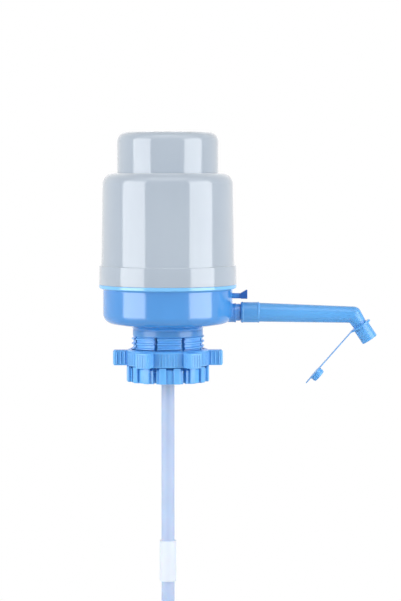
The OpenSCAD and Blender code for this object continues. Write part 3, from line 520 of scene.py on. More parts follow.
def tinted(tree: bpy.types.NodeTree, factor: bpy.types.NodeSocket, first: bpy.types.NodeSocket | Colour,
           second: bpy.types.NodeSocket | Colour) -> bpy.types.NodeSocket:
    """Return the first colour where a factor is 0, and the second where it is 1."""
    return add_node(tree, "ShaderNodeMix", {"Factor": factor, "A": first, "B": second},
                    data_type="RGBA").outputs["Result"]


def per_mm(size: float) -> float:
    """Return the texture scale that gives features of a size in millimetres."""
    return 1 / (size * MM)


PROBES = 4                      # rays that feel for an edge or a groove
EDGE_TURN = (0.995, 0.85)       # cosine between the rounded and the flat skin: face, edge with full painted highlight
CLOUD_BAND = (0.3, 0.62)        # where the clouds of flow begin and end
SCUFF_BAND = (0.45, 0.8)        # where a handling mark begins and is deepest
GROOVE_SHADE_BAND = (0.35, 0.85)     # openness of a groove with full painted shade, and of a free face with none
FLAT_CLOUDS = (1, 1, 0.6)       # the melt spreads round the axis more than along it
LONG_SCUFFS = (1, 1, 0.18)      # marks run along the axis


@dataclass(frozen=True)
class Moulded:
    """A moulded plastic or rubber: the colour of its pellets, its gloss, what the tool left, and painted light.

    flow is the size of the faint clouds that the melt leaves, peel the waviness of the skin and
    scuff the spacing of fine handling marks, all in millimetres. rim is the radius that light
    finds on a sharp edge, and the edge colour is a lighter highlight painted there. The groove
    colour, if given, is a darker shade painted into grooves of about the groove size given with it.
    """

    name: str
    slot: str
    colour: str
    cloud: str
    edge_highlight: str
    roughness: float
    ior: float = 1.5
    coat: float = 0.0
    flow: float = 38.0
    peel: float = 5.0
    peel_depth: float = 0.012
    scuff: float = 0.9
    scuff_gain: float = 0.05
    rim: float = 0.35
    glow: float = 0.0
    glow_depth: float = 1.5
    metallic: float = 0.0
    sheen: float = 0.0
    groove_shade: str = ""
    groove_shade_size: float = 2.5

    def material(self) -> bpy.types.Material:
        """Make this finish's material on first use.

        Returns:
            The material.
        """
        known = bpy.data.materials.get(self.name)
        if known:
            return known
        material = bpy.data.materials.new(self.name)
        material.use_nodes = True
        tree = material.node_tree
        tree.nodes.clear()
        shader = add_node(tree, "ShaderNodeBsdfPrincipled", {
            "Base Color": self._colour(tree),
            "Roughness": self._gloss(tree),
            "Normal": self._skin(tree),
            "IOR": self.ior,
            "Metallic": self.metallic,
            "Coat Weight": self.coat,
            "Coat Roughness": self.roughness / 2,
            "Subsurface Weight": self.glow,
            "Subsurface Scale": self.glow_depth * MM,
            "Sheen Weight": self.sheen,
            "Sheen Roughness": 0.5,
        })
        add_node(tree, "ShaderNodeOutputMaterial", {"Surface": shader.outputs["BSDF"]})
        return material

    def _place(self, tree: bpy.types.NodeTree, stretch: Place = (1, 1, 1)) -> bpy.types.NodeSocket:
        """Add the object's own coordinates, stretched along its axes.

        Args:
            tree: The material's node tree.
            stretch: The scale along X, Y and Z.

        Returns:
            The socket that gives the place.
        """
        where = add_node(tree, "ShaderNodeTexCoord")
        return add_node(tree, "ShaderNodeMapping", {
            "Vector": where.outputs["Object"], "Scale": stretch,
        }).outputs["Vector"]

    def _edge(self, tree: bpy.types.NodeTree) -> bpy.types.NodeSocket:
        """Add a mask of the sharp edges, where a lighter highlight is painted.

        Args:
            tree: The material's node tree.

        Returns:
            The socket that gives 1 on an edge and 0 on a face.
        """
        rim = add_node(tree, "ShaderNodeBevel", {"Radius": self.rim * MM}, samples=PROBES)
        flat = add_node(tree, "ShaderNodeNewGeometry")
        dot = add_node(tree, "ShaderNodeVectorMath", {
            0: rim.outputs["Normal"], 1: flat.outputs["Normal"],
        }, operation="DOT_PRODUCT")
        return mapped(tree, dot.outputs["Value"], EDGE_TURN)

    def _colour(self, tree: bpy.types.NodeTree) -> bpy.types.NodeSocket:
        """Add the pellets' colour with faint clouds of flow, a painted highlight on sharp edges and painted shade in
        grooves.

        Args:
            tree: The material's node tree.

        Returns:
            The socket that gives the colour.
        """
        clouds = add_node(tree, "ShaderNodeTexNoise", {
            "Vector": self._place(tree, FLAT_CLOUDS), "Scale": per_mm(self.flow), "Detail": 3.0, "Roughness": 0.45,
        })
        body = add_node(tree, "ShaderNodeValToRGB", {"Fac": clouds.outputs["Fac"]})
        for stop, position, shade in zip(body.color_ramp.elements, CLOUD_BAND, (self.cloud, self.colour)):
            stop.position = position
            stop.color = linear(shade)
        # painted highlight: a lighter colour on the sharp edges
        edge_highlight = tinted(tree, self._edge(tree), body.outputs["Color"], linear(self.edge_highlight))
        if not self.groove_shade:
            return edge_highlight
        # painted shade: a darker colour where the occlusion probe finds a groove
        closed = add_node(tree, "ShaderNodeAmbientOcclusion", {"Distance": self.groove_shade_size * MM}, samples=PROBES)
        return tinted(tree, mapped(tree, closed.outputs["AO"], GROOVE_SHADE_BAND), linear(self.groove_shade), edge_highlight)

    def _gloss(self, tree: bpy.types.NodeTree) -> bpy.types.NodeSocket:
        """Add the roughness, lifted a little along fine handling marks.

        Args:
            tree: The material's node tree.

        Returns:
            The socket that gives the roughness.
        """
        marks = add_node(tree, "ShaderNodeTexNoise", {
            "Vector": self._place(tree, LONG_SCUFFS), "Scale": per_mm(self.scuff), "Detail": 2.0,
        })
        return mapped(tree, marks.outputs["Fac"], SCUFF_BAND, (self.roughness, self.roughness + self.scuff_gain))

    def _skin(self, tree: bpy.types.NodeTree) -> bpy.types.NodeSocket:
        """Add the normal of a skin with a faint waviness and softened edges.

        Args:
            tree: The material's node tree.

        Returns:
            The socket that gives the normal.
        """
        rim = add_node(tree, "ShaderNodeBevel", {"Radius": self.rim * MM}, samples=PROBES)
        waves = add_node(tree, "ShaderNodeTexNoise", {
            "Vector": self._place(tree), "Scale": per_mm(self.peel), "Detail": 1.0, "Roughness": 0.3,
        })
        return add_node(tree, "ShaderNodeBump", {
            "Height": waves.outputs["Fac"], "Distance": self.peel_depth * MM, "Strength": 1.0,
            "Normal": rim.outputs["Normal"],
        }).outputs["Normal"]


@dataclass(frozen=True)
class PaintedZoneBlue(Moulded):
    """A blue that turns to a second shade along an axis, painted on as light: paler for a highlight, darker for shade.

    axis is X, Y or Z, and the shade changes between the two places start and end, in millimetres.
    """

    second: str = "#ffffff"
    axis: str = "Z"
    start: float = 0.0
    end: float = 1.0

    def _colour(self, tree: bpy.types.NodeTree) -> bpy.types.NodeSocket:
        """Add the moulded colour, mixed along the axis into the second shade, which is painted light or shade.

        Args:
            tree: The material's node tree.

        Returns:
            The socket that gives the colour.
        """
        body = super()._colour(tree)
        place = add_node(tree, "ShaderNodeSeparateXYZ", {"Vector": self._place(tree)})
        zone = mapped(tree, place.outputs[self.axis], (self.start * MM, self.end * MM))
        return tinted(tree, zone, body, linear(self.second))


class Finish(Enum):
    """The finishes of this pump's pieces."""

    # Glossy moulded ABS, pale blue-grey: a hard clear shine with sharp upright lights
    GREY_SHELL = Moulded(
        "abs_moulded_grey", "grey_shell", "#a7b3c0", "#a3afbd", "#bcc6d1", 0.12, ior=1.46, coat=0.6, sheen=0.5)
    # Glossy moulded ABS, mid blue: the bowl, whose rim is painted paler as a highlight
    BLUE_SHELL = PaintedZoneBlue(
        "abs_moulded_blue", "blue_shell", "#3f8fd8", "#3c8bd3", "#6aaae2", 0.13, ior=1.7,
        second="#74bdf2", axis="Z", start=41.8, end=43.8)
    # Moulded polypropylene, light blue: a softer satin shine, slightly see-through at thin edges
    SKY_PLASTIC = Moulded(
        "polypropylene_moulded_sky", "sky_plastic", "#5aa4e4", "#559fe0", "#8cc4f2", 0.22,
        ior=1.49, peel=3.0, rim=0.4, glow=0.06, glow_depth=2.0)
    # The same plastic in the thin strap and its plug, whose edges are finer
    SKY_THIN = Moulded(
        "polypropylene_moulded_thin", "sky_plastic", "#5aa4e4", "#559fe0", "#7db9ec", 0.3,
        ior=1.49, peel=4.0, peel_depth=0.0005, scuff_gain=0.0, rim=0.05, glow=0.06, glow_depth=1.0)
    # The same plastic in a copy painted paler as if lit more, with painted shade in its grooves and a painted shadow
    # on the neck under the bowl
    SKY_PAINTED_LIGHT = PaintedZoneBlue(
        "polypropylene_moulded_pale", "sky_plastic", "#6ab6f4", "#64b0f0", "#9cd4f9", 0.24,
        ior=1.49, peel=3.0, rim=0.4, glow=0.06, glow_depth=2.0, groove_shade="#1e6cc4", groove_shade_size=2.6,
        second="#4d91cd", axis="Z", start=-4.5, end=-2.0)
    # Deeper blue acetal: the vent's stem, and its thumb head, which is painted darker as shade
    DEEP_BLUE = PaintedZoneBlue(
        "acetal_moulded_blue", "blue_shell", "#3f8ad2", "#3c86cd", "#5b9ade", 0.28, ior=1.48, peel=2.5,
        second="#1d5fb2", axis="X", start=69.5, end=73.5)
    # Moulded natural polyethylene: plate, deck, coupler and vent cage inside the pump
    MILKY_PLASTIC = Moulded(
        "polyethylene_moulded_natural", "milky_plastic", "#dde5ee", "#d6dfea", "#e9eff5", 0.38,
        ior=1.51, glow=0.15, glow_depth=2.5)
    # Extruded natural polyethylene: milky, waxy, lengthwise die lines
    MILKY_TUBE = Moulded(
        "polyethylene_extruded_milky", "milky_tube", "#b4c6e4", "#adc0df", "#cfdcf0", 0.32,
        ior=1.51, flow=26.0, peel=2.2, glow=0.25, glow_depth=3.0)
    # Moulded silicone, pale and satin
    PALE_RUBBER = Moulded(
        "silicone_moulded_pale", "pale_rubber", "#d3dbe2", "#ccd5dd", "#dde4ea", 0.5,
        ior=1.43, flow=20.0, glow=0.12, glow_depth=2.0)
    # Moulded EPDM rubber, near black and dull
    DARK_RUBBER = Moulded(
        "epdm_moulded_black", "dark_rubber", "#33373c", "#2d3136", "#4a4f55", 0.62,
        ior=1.52, flow=9.0, peel=1.2, peel_depth=0.03)
    # Drawn and tumbled stainless steel: screws and springs
    STEEL = Moulded(
        "stainless_drawn", "steel", "#c2c5c8", "#b6b9bd", "#d5d7d9", 0.28,
        flow=3.0, peel=1.0, peel_depth=0.006, scuff=0.4, scuff_gain=0.12, rim=0.2, metallic=1.0)


def paint(piece: bpy.types.Object, finish: Finish, *nodes: str) -> None:
    """Give a new piece its finish and the CAD nodes that it stands for.

    Args:
        piece: The piece.
        finish: The finish.
        nodes: The CAD nodes, none for a piece beside them.
    """
    smooth(piece)
    piece.data.materials.clear()
    piece.data.materials.append(finish.value.material())
    if nodes:
        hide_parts(*nodes)
    log.info("%s: %d faces, %.1f s", piece.name, len(piece.data.polygons), time.monotonic() - START)


def dress(piece: bpy.types.Object, finish: Finish, body: str, *nodes: str) -> None:
    """Paint a new piece and let it ride on a body.

    Args:
        piece: The piece.
        finish: The finish.
        body: The body that it moves with.
        nodes: The CAD nodes, none for a piece beside them.
    """
    paint(piece, finish, *nodes)
    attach(piece, body)


# ---------------------------------------------------------------- sub-assemblies


@dataclass
class CoverShell:
    """The grey cover: a drafted shell with a wider collar and a sleeve that guides the cap."""

    foot_z: float = 47.0
    collar_top_z: float = 65.8
    collar_foot_r: float = 67.25
    collar_top_r: float = 66.9
    foot_r: float = 64.95
    top_r: float = 63.5
    shoulder_z: float = 155.7
    rim_z: float = 155.4
    corner_r: float = 11.0
    opening_r: float = 49.65
    under_z: float = 152.7
    sleeve_in_r: float = 53.3
    sleeve_out_r: float = 55.5
    sleeve_z: float = 113.7
    inner_foot_r: float = 62.55
    inner_top_r: float = 61.1
    bore_r: float = 64.4
    groove_z: float = 54.9
    groove_h: float = 1.7
    groove_r: float = 64.9

    def build(self) -> None:
        """Turn the shell about the pump's axis and dress it."""
        piece = lathe("cover_shell", [
            Corner(self.bore_r, self.foot_z, 0.3, 2),
            Corner(self.collar_foot_r, self.foot_z, 0.5, 3),
            Corner(self.collar_top_r, self.collar_top_z, 0.8, 4),
            Corner(self.foot_r, self.collar_top_z, 0.25, 2),
            Corner(self.top_r, self.rim_z, self.corner_r, 16),
            Corner(self.opening_r + 1.2, self.shoulder_z),
            Corner(self.opening_r, self.shoulder_z, 0.7, 4),
            Corner(self.opening_r, self.under_z),
            Corner(self.sleeve_in_r, self.under_z),
            Corner(self.sleeve_in_r, self.sleeve_z),
            Corner(self.sleeve_out_r, self.sleeve_z),
            Corner(self.sleeve_out_r, self.under_z, 0.8, 3),
            Corner(self.inner_top_r, self.under_z, self.corner_r - 2.6, 8),
            Corner(self.inner_foot_r, self.collar_top_z, 0.4, 2),
            Corner(self.bore_r, self.collar_top_z - 3.85),
            Corner(self.bore_r, self.groove_z + self.groove_h),
            Corner(self.groove_r, self.groove_z + self.groove_h),
            Corner(self.groove_r, self.groove_z),
            Corner(self.bore_r, self.groove_z),
        ], closed=True, sides=160)
        dress(piece, Finish.GREY_SHELL, "base", "outer_cover")


@dataclass
class CapShell:
    """The press cap: a deep cup, upside down, with screw bosses and a notched flange inside."""

    r: float = 49.3
    wall: float = 2.5
    top_z: float = 196.7
    crown: float = 1.2
    edge_r: float = 9.5
    flange_r: float = 53.0
    flange_z: float = 149.2
    flange_t: float = 3.4
    boss_count: int = 4
    boss_turn: float = 45.0
    boss_circle_r: float = 32.5
    boss_r: float = 4.2
    boss_z: float = 150.6
    pilot_r: float = 1.55
    pilot_depth: float = 10.0
    notch_count: int = 8
    notch_w: float = 6.0
    notch_h: float = 1.4

    def build(self) -> None:
        """Make the cup, add its bosses, cut the holes and notches, and dress it."""
        piece = self._cup()
        roof_z = self.top_z - self.crown - self.wall
        boss = lathe("boss", [
            Corner(self.boss_r, self.boss_z), Corner(self.boss_r + 0.15, roof_z - 1.2, 1.0, 3),
            Corner(self.boss_r + 1.4, roof_z + 0.3)], sides=40)
        put(boss, (self.boss_circle_r, 0, 0))
        blend_in(piece, ring_of(boss, round_angles(self.boss_count, self.boss_turn)), Mix.ADD)
        pilot = rod("pilot", self.pilot_r, self.boss_z - 1, self.boss_z + self.pilot_depth, 24)
        put(pilot, (self.boss_circle_r, 0, 0))
        blend_in(piece, ring_of(pilot, round_angles(self.boss_count, self.boss_turn)), Mix.CUT)
        inner_r = self.r - self.wall
        notch = block("notch", (inner_r + 1.2, -self.notch_w / 2, self.flange_z - 1),
                      (self.flange_r + 2, self.notch_w / 2, self.flange_z + self.notch_h))
        blend_in(piece, ring_of(notch, round_angles(self.notch_count)), Mix.CUT)
        dress(piece, Finish.GREY_SHELL, "press", "press_cap")

    def _cup(self) -> bpy.types.Object:
        """Turn the cup, from the middle of its crown round to the middle of its roof.

        Returns:
            The cup.
        """
        flat_r = self.r - self.edge_r
        sphere_r = (flat_r ** 2 + self.crown ** 2) / (2 * self.crown)
        crown = [Corner(x, self.top_z - sphere_r + math.sqrt(sphere_r ** 2 - x ** 2))
                 for x in (1.5, 8, 14, 20, 26, 31, 35.5)]
        edge_z = self.top_z - self.crown
        inner_r = self.r - self.wall
        return lathe("cap_shell", crown + [
            Corner(self.r, edge_z + 0.15, self.edge_r, 16),
            Corner(self.r, self.flange_z + self.flange_t, 0.3, 2),
            Corner(self.flange_r, self.flange_z + self.flange_t, 0.5, 3),
            Corner(self.flange_r, self.flange_z, 0.5, 3),
            Corner(inner_r, self.flange_z, 0.5, 3),
            Corner(inner_r, edge_z - self.wall, self.edge_r - self.wall, 8),
            Corner(1.5, edge_z - self.wall)], sides=160)


@dataclass
class BowlShell:
    """The blue bowl with its rim, painted paler as a highlight, water pipe, nozzle and vent boss, in one moulding."""

    floor_z: float = 8.2
    flat_r: float = 12.7
    core_r: float = 1.5
    inner_r: float = 61.0
    wall_r: float = 63.4
    wall: float = 2.4
    corner_r: float = 10.0
    corner_z: float = 18.62
    slope: float = 0.166
    ledge_low_z: float = 45.5
    ledge_z: float = 51.5
    ledge_r: float = 53.0
    upstand_r: float = 64.35
    upstand_z: float = 61.0
    bead_z: float = 55.0
    rim_r: float = 67.28
    rim_z: float = 47.0
    rim_low_z: float = 43.7
    neck_r: float = 34.3
    neck_fillet: float = 3.2
    seam_z: float = 2.6
    ring_r: float = 31.0
    ring_z: float = -3.0
    pocket_r: float = 28.9
    gasket_z: float = 4.0
    axis_z: float = 19.5
    pipe_r: float = 6.4
    pipe_x: float = 2.0
    socket_r: float = 9.15
    socket_z: float = -10.0
    tube_r: float = 6.5
    tube_stop_z: float = 10.5
    way_r: float = 4.5
    boss_r: float = 9.25
    boss_x: float = 57.5
    boss_drop: float = 0.5
    bead_x: Point = (65.3, 66.75)
    bead_h: float = 0.3
    shoulder_x: float = 64.0
    shoulder_r: float = 8.4
    spigot_x: Point = (71.2, 84.0)
    spigot_r: float = 6.9
    o_ring_x: Point = (77.4, 79.0)
    o_ring_r: float = 5.5
    vent_z: float = 35.7
    vent_boss_x: float = 54.2
    vent_boss_r: float = 6.0
    vent_hole_x: Point = (53.2, 64.4)
    vent_hole_r: float = 3.2
    hole_count: int = 6
    hole_turn: float = 30.0
    air_x: float = 14.075
    air_r: float = 2.5
    screw_x: float = 57.3
    screw_r: float = 1.55

    def build(self) -> None:
        """Make the bowl, add its inner fittings and the nozzle, and bore its water ways."""
        piece = self._bowl()
        blend_in(piece, self._socket(), Mix.ADD)
        blend_in(piece, bar("pipe", self.pipe_r, self.pipe_x, self.inner_r + 0.5, self.axis_z), Mix.ADD)
        blend_in(piece, self._nozzle(), Mix.ADD)
        vent_boss = bar("vent_boss", self.vent_boss_r, self.vent_boss_x, self.inner_r + 0.5, self.vent_z)
        blend_in(piece, vent_boss, Mix.ADD)
        for tool in self._cutters():
            blend_in(piece, tool, Mix.CUT)
        tidy_mesh(piece)
        dress(piece, Finish.BLUE_SHELL, "base", "base_bowl")

    def _bowl(self) -> bpy.types.Object:
        """Turn the bowl, from the middle of its floor round to the gasket's seat.

        Returns:
            The bowl.
        """
        stretch = math.sqrt(1 + self.slope ** 2)
        corner_x = self.wall_r - self.corner_r
        under_z = self.corner_z - self.corner_r * stretch - self.slope * corner_x
        inside_z = under_z + self.wall * stretch
        return lathe("bowl_shell", [
            Corner(self.core_r, self.floor_z),
            Corner(self.flat_r, self.floor_z),
            Corner(self.inner_r, inside_z + self.slope * self.inner_r, self.corner_r - self.wall, 8),
            Corner(self.inner_r, self.ledge_low_z, 0.5, 2),
            Corner(self.ledge_r, self.ledge_low_z, 0.5, 2),
            Corner(self.ledge_r, self.ledge_z, 0.5, 2),
            Corner(self.inner_r, self.ledge_z),
            Corner(self.inner_r, self.upstand_z, 0.4, 2),
            Corner(self.upstand_r, self.upstand_z, 0.8, 3),
            Corner(self.upstand_r, self.bead_z + 1.5),
            Corner(self.upstand_r + 0.5, self.bead_z + 0.75),
            Corner(self.upstand_r, self.bead_z),
            Corner(self.upstand_r, self.rim_z),
            Corner(self.rim_r, self.rim_z, 0.5, 3),
            Corner(self.rim_r, self.rim_low_z, 0.7, 4),
            Corner(self.wall_r, self.rim_low_z - 1.5, 0.9, 4),
            Corner(self.wall_r, under_z + self.slope * self.wall_r, self.corner_r, 18),
            Corner(self.neck_r, under_z + self.slope * self.neck_r, self.neck_fillet, 6),
            Corner(self.neck_r, self.seam_z, 0.25, 2),
            Corner(self.ring_r, self.seam_z),
            Corner(self.ring_r, self.ring_z, 0.3, 2),
            Corner(self.pocket_r, self.ring_z, 0.3, 2),
            Corner(self.pocket_r, self.gasket_z),
            Corner(self.core_r, self.gasket_z)], sides=160)

    def _socket(self) -> bpy.types.Object:
        """Turn the dip tube's socket, with a dome over the turn of the water way.

        Returns:
            The socket, solid.
        """
        top = self.axis_z + self.pipe_r
        return lathe("tube_socket", [
            Corner(self.socket_r - 0.4, self.socket_z), Corner(self.socket_r, self.socket_z + 0.4),
            Corner(self.socket_r, top - 0.1, 2.2, 5), Corner(2.0, top)], sides=64)

    def _nozzle(self) -> bpy.types.Object:
        """Sweep the nozzle: a boss that stands out of the bowl, a shoulder and the spigot.

        Returns:
            The nozzle, solid.
        """
        low = self.axis_z - self.boss_drop
        proud = self.boss_r + self.bead_h
        flare = [Station(x, low, r, 90) for x, r in (
            (self.boss_x, self.boss_r), (self.bead_x[0], self.boss_r), (self.bead_x[0] + 0.15, proud),
            (self.bead_x[1] - 0.25, proud), (self.bead_x[1], self.boss_r + 0.05))]
        rest = lathe("nozzle", [
            Corner(self.shoulder_r - 0.4, self.shoulder_x), Corner(self.shoulder_r, self.shoulder_x + 0.6),
            Corner(self.shoulder_r, self.spigot_x[0], 0.45, 3), Corner(self.spigot_r, self.spigot_x[0], 0.3, 2),
            Corner(self.spigot_r, self.spigot_x[1], 0.8, 3), Corner(5.2, self.spigot_x[1])],
            sides=96, axis_z=self.axis_z)
        piece = sweep("nozzle_boss", flare, sides=96)
        blend_in(piece, rest, Mix.ADD)
        return piece

    def _cutters(self) -> list[bpy.types.Object]:
        """Make the shapes of the water way, the O-ring's groove and every hole.

        Returns:
            The shapes, each to be cut out of the bowl.
        """
        tube_bore = rod("tube_bore", self.tube_r, self.socket_z - 1, self.tube_stop_z, 64, 0.01)
        riser = rod("riser", self.way_r, self.tube_stop_z - 1, self.axis_z + 3.6, 64, 1.6)
        way = lathe("way", [
            Corner(self.way_r - 1.6, -3.6), Corner(self.way_r, -2.0), Corner(self.way_r, self.spigot_x[1] + 1)],
            sides=64, axis_z=self.axis_z)
        groove = lathe("groove", [Corner(r, x) for r, x in zip(
            (self.o_ring_r, 8.0, 8.0, self.o_ring_r), (self.o_ring_x[0],) * 2 + (self.o_ring_x[1],) * 2)],
            closed=True, sides=96, axis_z=self.axis_z)
        vent_hole = bar("vent_hole", self.vent_hole_r, *self.vent_hole_x, self.vent_z, 40)
        air = rod("air_hole", self.air_r, self.gasket_z - 1, self.floor_z + 1, 32, 0.01)
        put(air, (self.air_x, 0, 0))
        screw = rod("screw_hole", self.screw_r, self.ledge_low_z - 1, self.ledge_z + 1, 24, 0.01)
        put(screw, (self.screw_x, 0, 0))
        places = round_angles(self.hole_count, self.hole_turn)
        return [tube_bore, riser, way, groove, vent_hole, ring_of(air, places), ring_of(screw, places)]


@dataclass
class Collet:
    """The light blue collet: eight threaded fingers with ribbed skirts and gripping pads."""

    bore_r: float = 31.05
    ring_r: float = 34.4
    root_r: float = 33.9
    crest_r: float = 35.6
    ring_z: float = -2.9
    pitch: float = 4.7
    front_crest_z: float = -4.9
    top_z: float = 2.6
    foot_z: float = -48.0
    skirt_z: float = -32.4
    skirt_r: float = 38.1
    rib_r: float = 40.5
    fingers: int = 8
    slot_x: Point = (24.3, 42.0)
    slot_w: float = 3.3
    slot_top_z: float = -3.4
    slot_turn: float = 26.2
    rib_angle: float = 9.6
    rib_offset: float = 10.3
    pad_r: float = 25.65
    pad_h: float = 9.0
    pad_wall: float = 4.2
    skirt_wall: float = 3.0
    hollow_z: float = -37.0
    turns: int = 7

    def build(self) -> None:
        """Make the core, wind the thread, add the ribs, cut the slots and dress the collet."""
        piece = self._core()
        blend_in(piece, self._thread(), Mix.ADD)
        blend_in(piece, self._ribs(), Mix.ADD)
        half_w = self.slot_w / 2
        slot = block("slot", (self.slot_x[0], -half_w, self.foot_z - 1), (self.slot_x[1], half_w, self.slot_top_z))
        blend_in(piece, ring_of(slot, round_angles(self.fingers, self.slot_turn)), Mix.CUT)
        tidy_mesh(piece)
        dress(piece, Finish.SKY_PAINTED_LIGHT, "base", "collet")

    def _core(self) -> bpy.types.Object:
        """Turn the collet's body: ring, fingers, skirt, hollow and pads.

        Returns:
            The body, before it is slotted.
        """
        pad_top = self.foot_z + self.pad_h
        return lathe("collet_body", [
            Corner(self.bore_r, self.top_z, 0.3, 2),
            Corner(self.ring_r, self.top_z, 0.35, 3),
            Corner(self.ring_r, self.ring_z, 0.35, 3),
            Corner(self.root_r, self.ring_z - 0.6, 0.2, 2),
            Corner(self.root_r, self.skirt_z + 0.7, 0.4, 3),
            Corner(self.crest_r, self.skirt_z, 0.6, 3),
            Corner(self.skirt_r, self.skirt_z - 2.5, 1.0, 4),
            Corner(self.skirt_r, self.foot_z, 0.5, 3),
            Corner(self.skirt_r - self.skirt_wall, self.foot_z, 0.3, 2),
            Corner(self.skirt_r - self.skirt_wall, self.hollow_z, 0.6, 3),
            Corner(self.pad_r + self.pad_wall, self.hollow_z, 0.6, 3),
            Corner(self.pad_r + self.pad_wall, self.foot_z),
            Corner(self.pad_r + 1.0, self.foot_z, 0.3, 2),
            Corner(self.pad_r, self.foot_z + 1.0, 0.5, 2),
            Corner(self.pad_r, pad_top, 0.8, 3),
            Corner(self.bore_r, pad_top + self.bore_r - self.pad_r + 1.6, 1.2, 3)], closed=True, sides=160)

    def _thread(self) -> bpy.types.Object:
        """Wind a ridge of the thread's section up the fingers with a screw modifier.

        Returns:
            The ridge.
        """
        deselect()
        bpy.ops.mesh.primitive_circle_add(
            vertices=4, radius=1.0 * MM, fill_type="NOTHING", rotation=(math.radians(90), 0, 0))
        ridge = bpy.context.object
        ridge.name = "thread"
        settle(ridge)
        deep = self.root_r - 0.4
        section = [(deep, -1.4), (self.crest_r, -0.5), (self.crest_r, 0.45), (deep, 1.4)]
        start = self.front_crest_z - (self.turns - 0.5) * self.pitch
        for vertex, (r, z) in zip(ridge.data.vertices, section):
            vertex.co = (r * MM, 0, (start + z) * MM)
        wind(ridge, self.pitch, self.turns, 72)
        put(ridge, turn=(0, 0, 90))
        return ridge

    def _ribs(self) -> bpy.types.Object:
        """Make one rib of the skirt and repeat it, two to a finger.

        Returns:
            All the ribs, as one object.
        """
        half = math.radians(self.rib_angle / 2)
        width = 2 * self.rib_r * math.sin(half)
        rib = block("rib", (self.skirt_r - 0.8, -width / 2, self.foot_z),
                    (self.rib_r, width / 2, self.skirt_z), 0.7, 3)
        middle = self.slot_turn + 180 / self.fingers
        angles = [angle + side * self.rib_offset for angle in round_angles(self.fingers, middle) for side in (-1, 1)]
        return ring_of(rib, angles)


@dataclass
class ClampNut:
    """The six-lobed nut that drives the fingers together."""

    hub_r: float = 40.2
    core_r: float = 20.0
    bore_r: float = 35.9
    bottom_z: float = -32.1
    lobe_top_z: float = -17.4
    collar_z: float = -16.3
    collar_r: float = 37.6
    lobes: int = 6
    tip_r: float = 53.3
    lobe_root_r: float = 30.0
    lobe_w: float = 13.0
    lobe_turn: float = 1.7
    corner_r: float = 1.5
    grip_r: float = 0.55
    grip_pitch: float = 3.7
    hub_grip_angle: float = 4.4
    tip_pitch: float = 2.7

    def build(self) -> None:
        """Make hub, lobes and grips, bore the nut, cut its thread's lead and dress it."""
        piece = self._hub()
        blend_in(piece, self._lobes(), Mix.ADD)
        blend_in(piece, self._grips(), Mix.ADD)
        bore = lathe("bore", [
            Corner(self.bore_r + 1.6, self.bottom_z - 0.1), Corner(self.bore_r, self.bottom_z + 1.5),
            Corner(self.bore_r, self.collar_z - 0.4), Corner(self.bore_r + 0.4, self.collar_z + 0.1)], sides=128)
        blend_in(piece, bore, Mix.CUT)
        tidy_mesh(piece)
        dress(piece, Finish.SKY_PAINTED_LIGHT, "nut", "clamp_nut")

    def _hub(self) -> bpy.types.Object:
        """Turn the hub with its tapering collar, solid until it is bored.

        Returns:
            The hub.
        """
        return lathe("nut_body", [
            Corner(self.core_r, self.bottom_z), Corner(self.hub_r, self.bottom_z, 0.6, 3),
            Corner(self.hub_r, self.lobe_top_z, 0.5, 3), Corner(self.collar_r, self.collar_z, 0.6, 4),
            Corner(self.core_r, self.collar_z)], sides=128)

    def _lobes(self) -> bpy.types.Object:
        """Make one lobe with upright corners of a wider radius and repeat it.

        Returns:
            All the lobes, as one object.
        """
        half = self.lobe_w / 2
        lobe = block("lobe", (self.lobe_root_r, -half, self.bottom_z), (self.tip_r, half, self.lobe_top_z))
        open_mesh("DESELECT")
        bpy.ops.mesh.select_mode(type="EDGE")
        close_mesh()
        for edge in lobe.data.edges:
            ends = [lobe.data.vertices[i].co for i in edge.vertices]
            upright = abs(ends[0].z - ends[1].z) > 5 * MM
            edge.select = upright and ends[0].x > (self.tip_r - 3.3) * MM
        bpy.ops.object.mode_set(mode="EDIT")
        bpy.ops.mesh.bevel(offset=self.corner_r * MM, segments=5)
        close_mesh()
        soften(lobe, 0.6, 3, 50)
        return ring_of(lobe, round_angles(self.lobes, self.lobe_turn))

    def _grips(self) -> bpy.types.Object:
        """Copy one fine upright rib to the lobes' flanks and tips and to the hub between them.

        Returns:
            All the fine ribs, as one object.
        """
        grip = rod("grip", self.grip_r, self.bottom_z + 1.2, self.lobe_top_z - 1.2, 12, 0.25)
        first_r = self.hub_r + 4 * self.grip_r
        half = self.lobe_w / 2
        spots: list[tuple[Place, float]] = []
        for turn in round_angles(self.lobes, self.lobe_turn):
            spots += [((first_r + self.grip_pitch * k, side * half, 0), turn) for side in (-1, 1) for k in range(3)]
            spots += [((self.tip_r - 0.05, self.tip_pitch * k, 0), turn) for k in (-1.5, -0.5, 0.5, 1.5)]
            between = turn + 180 / self.lobes
            spots += [((self.hub_r, 0, 0), between + self.hub_grip_angle * k) for k in range(-3, 4)]
        made = [twin(grip) for _ in spots]
        for copy, (place, angle) in zip(made, spots):
            put(copy, place)
            put(copy, turn=(0, 0, angle))
        bpy.data.objects.remove(grip)
        return joined(made)


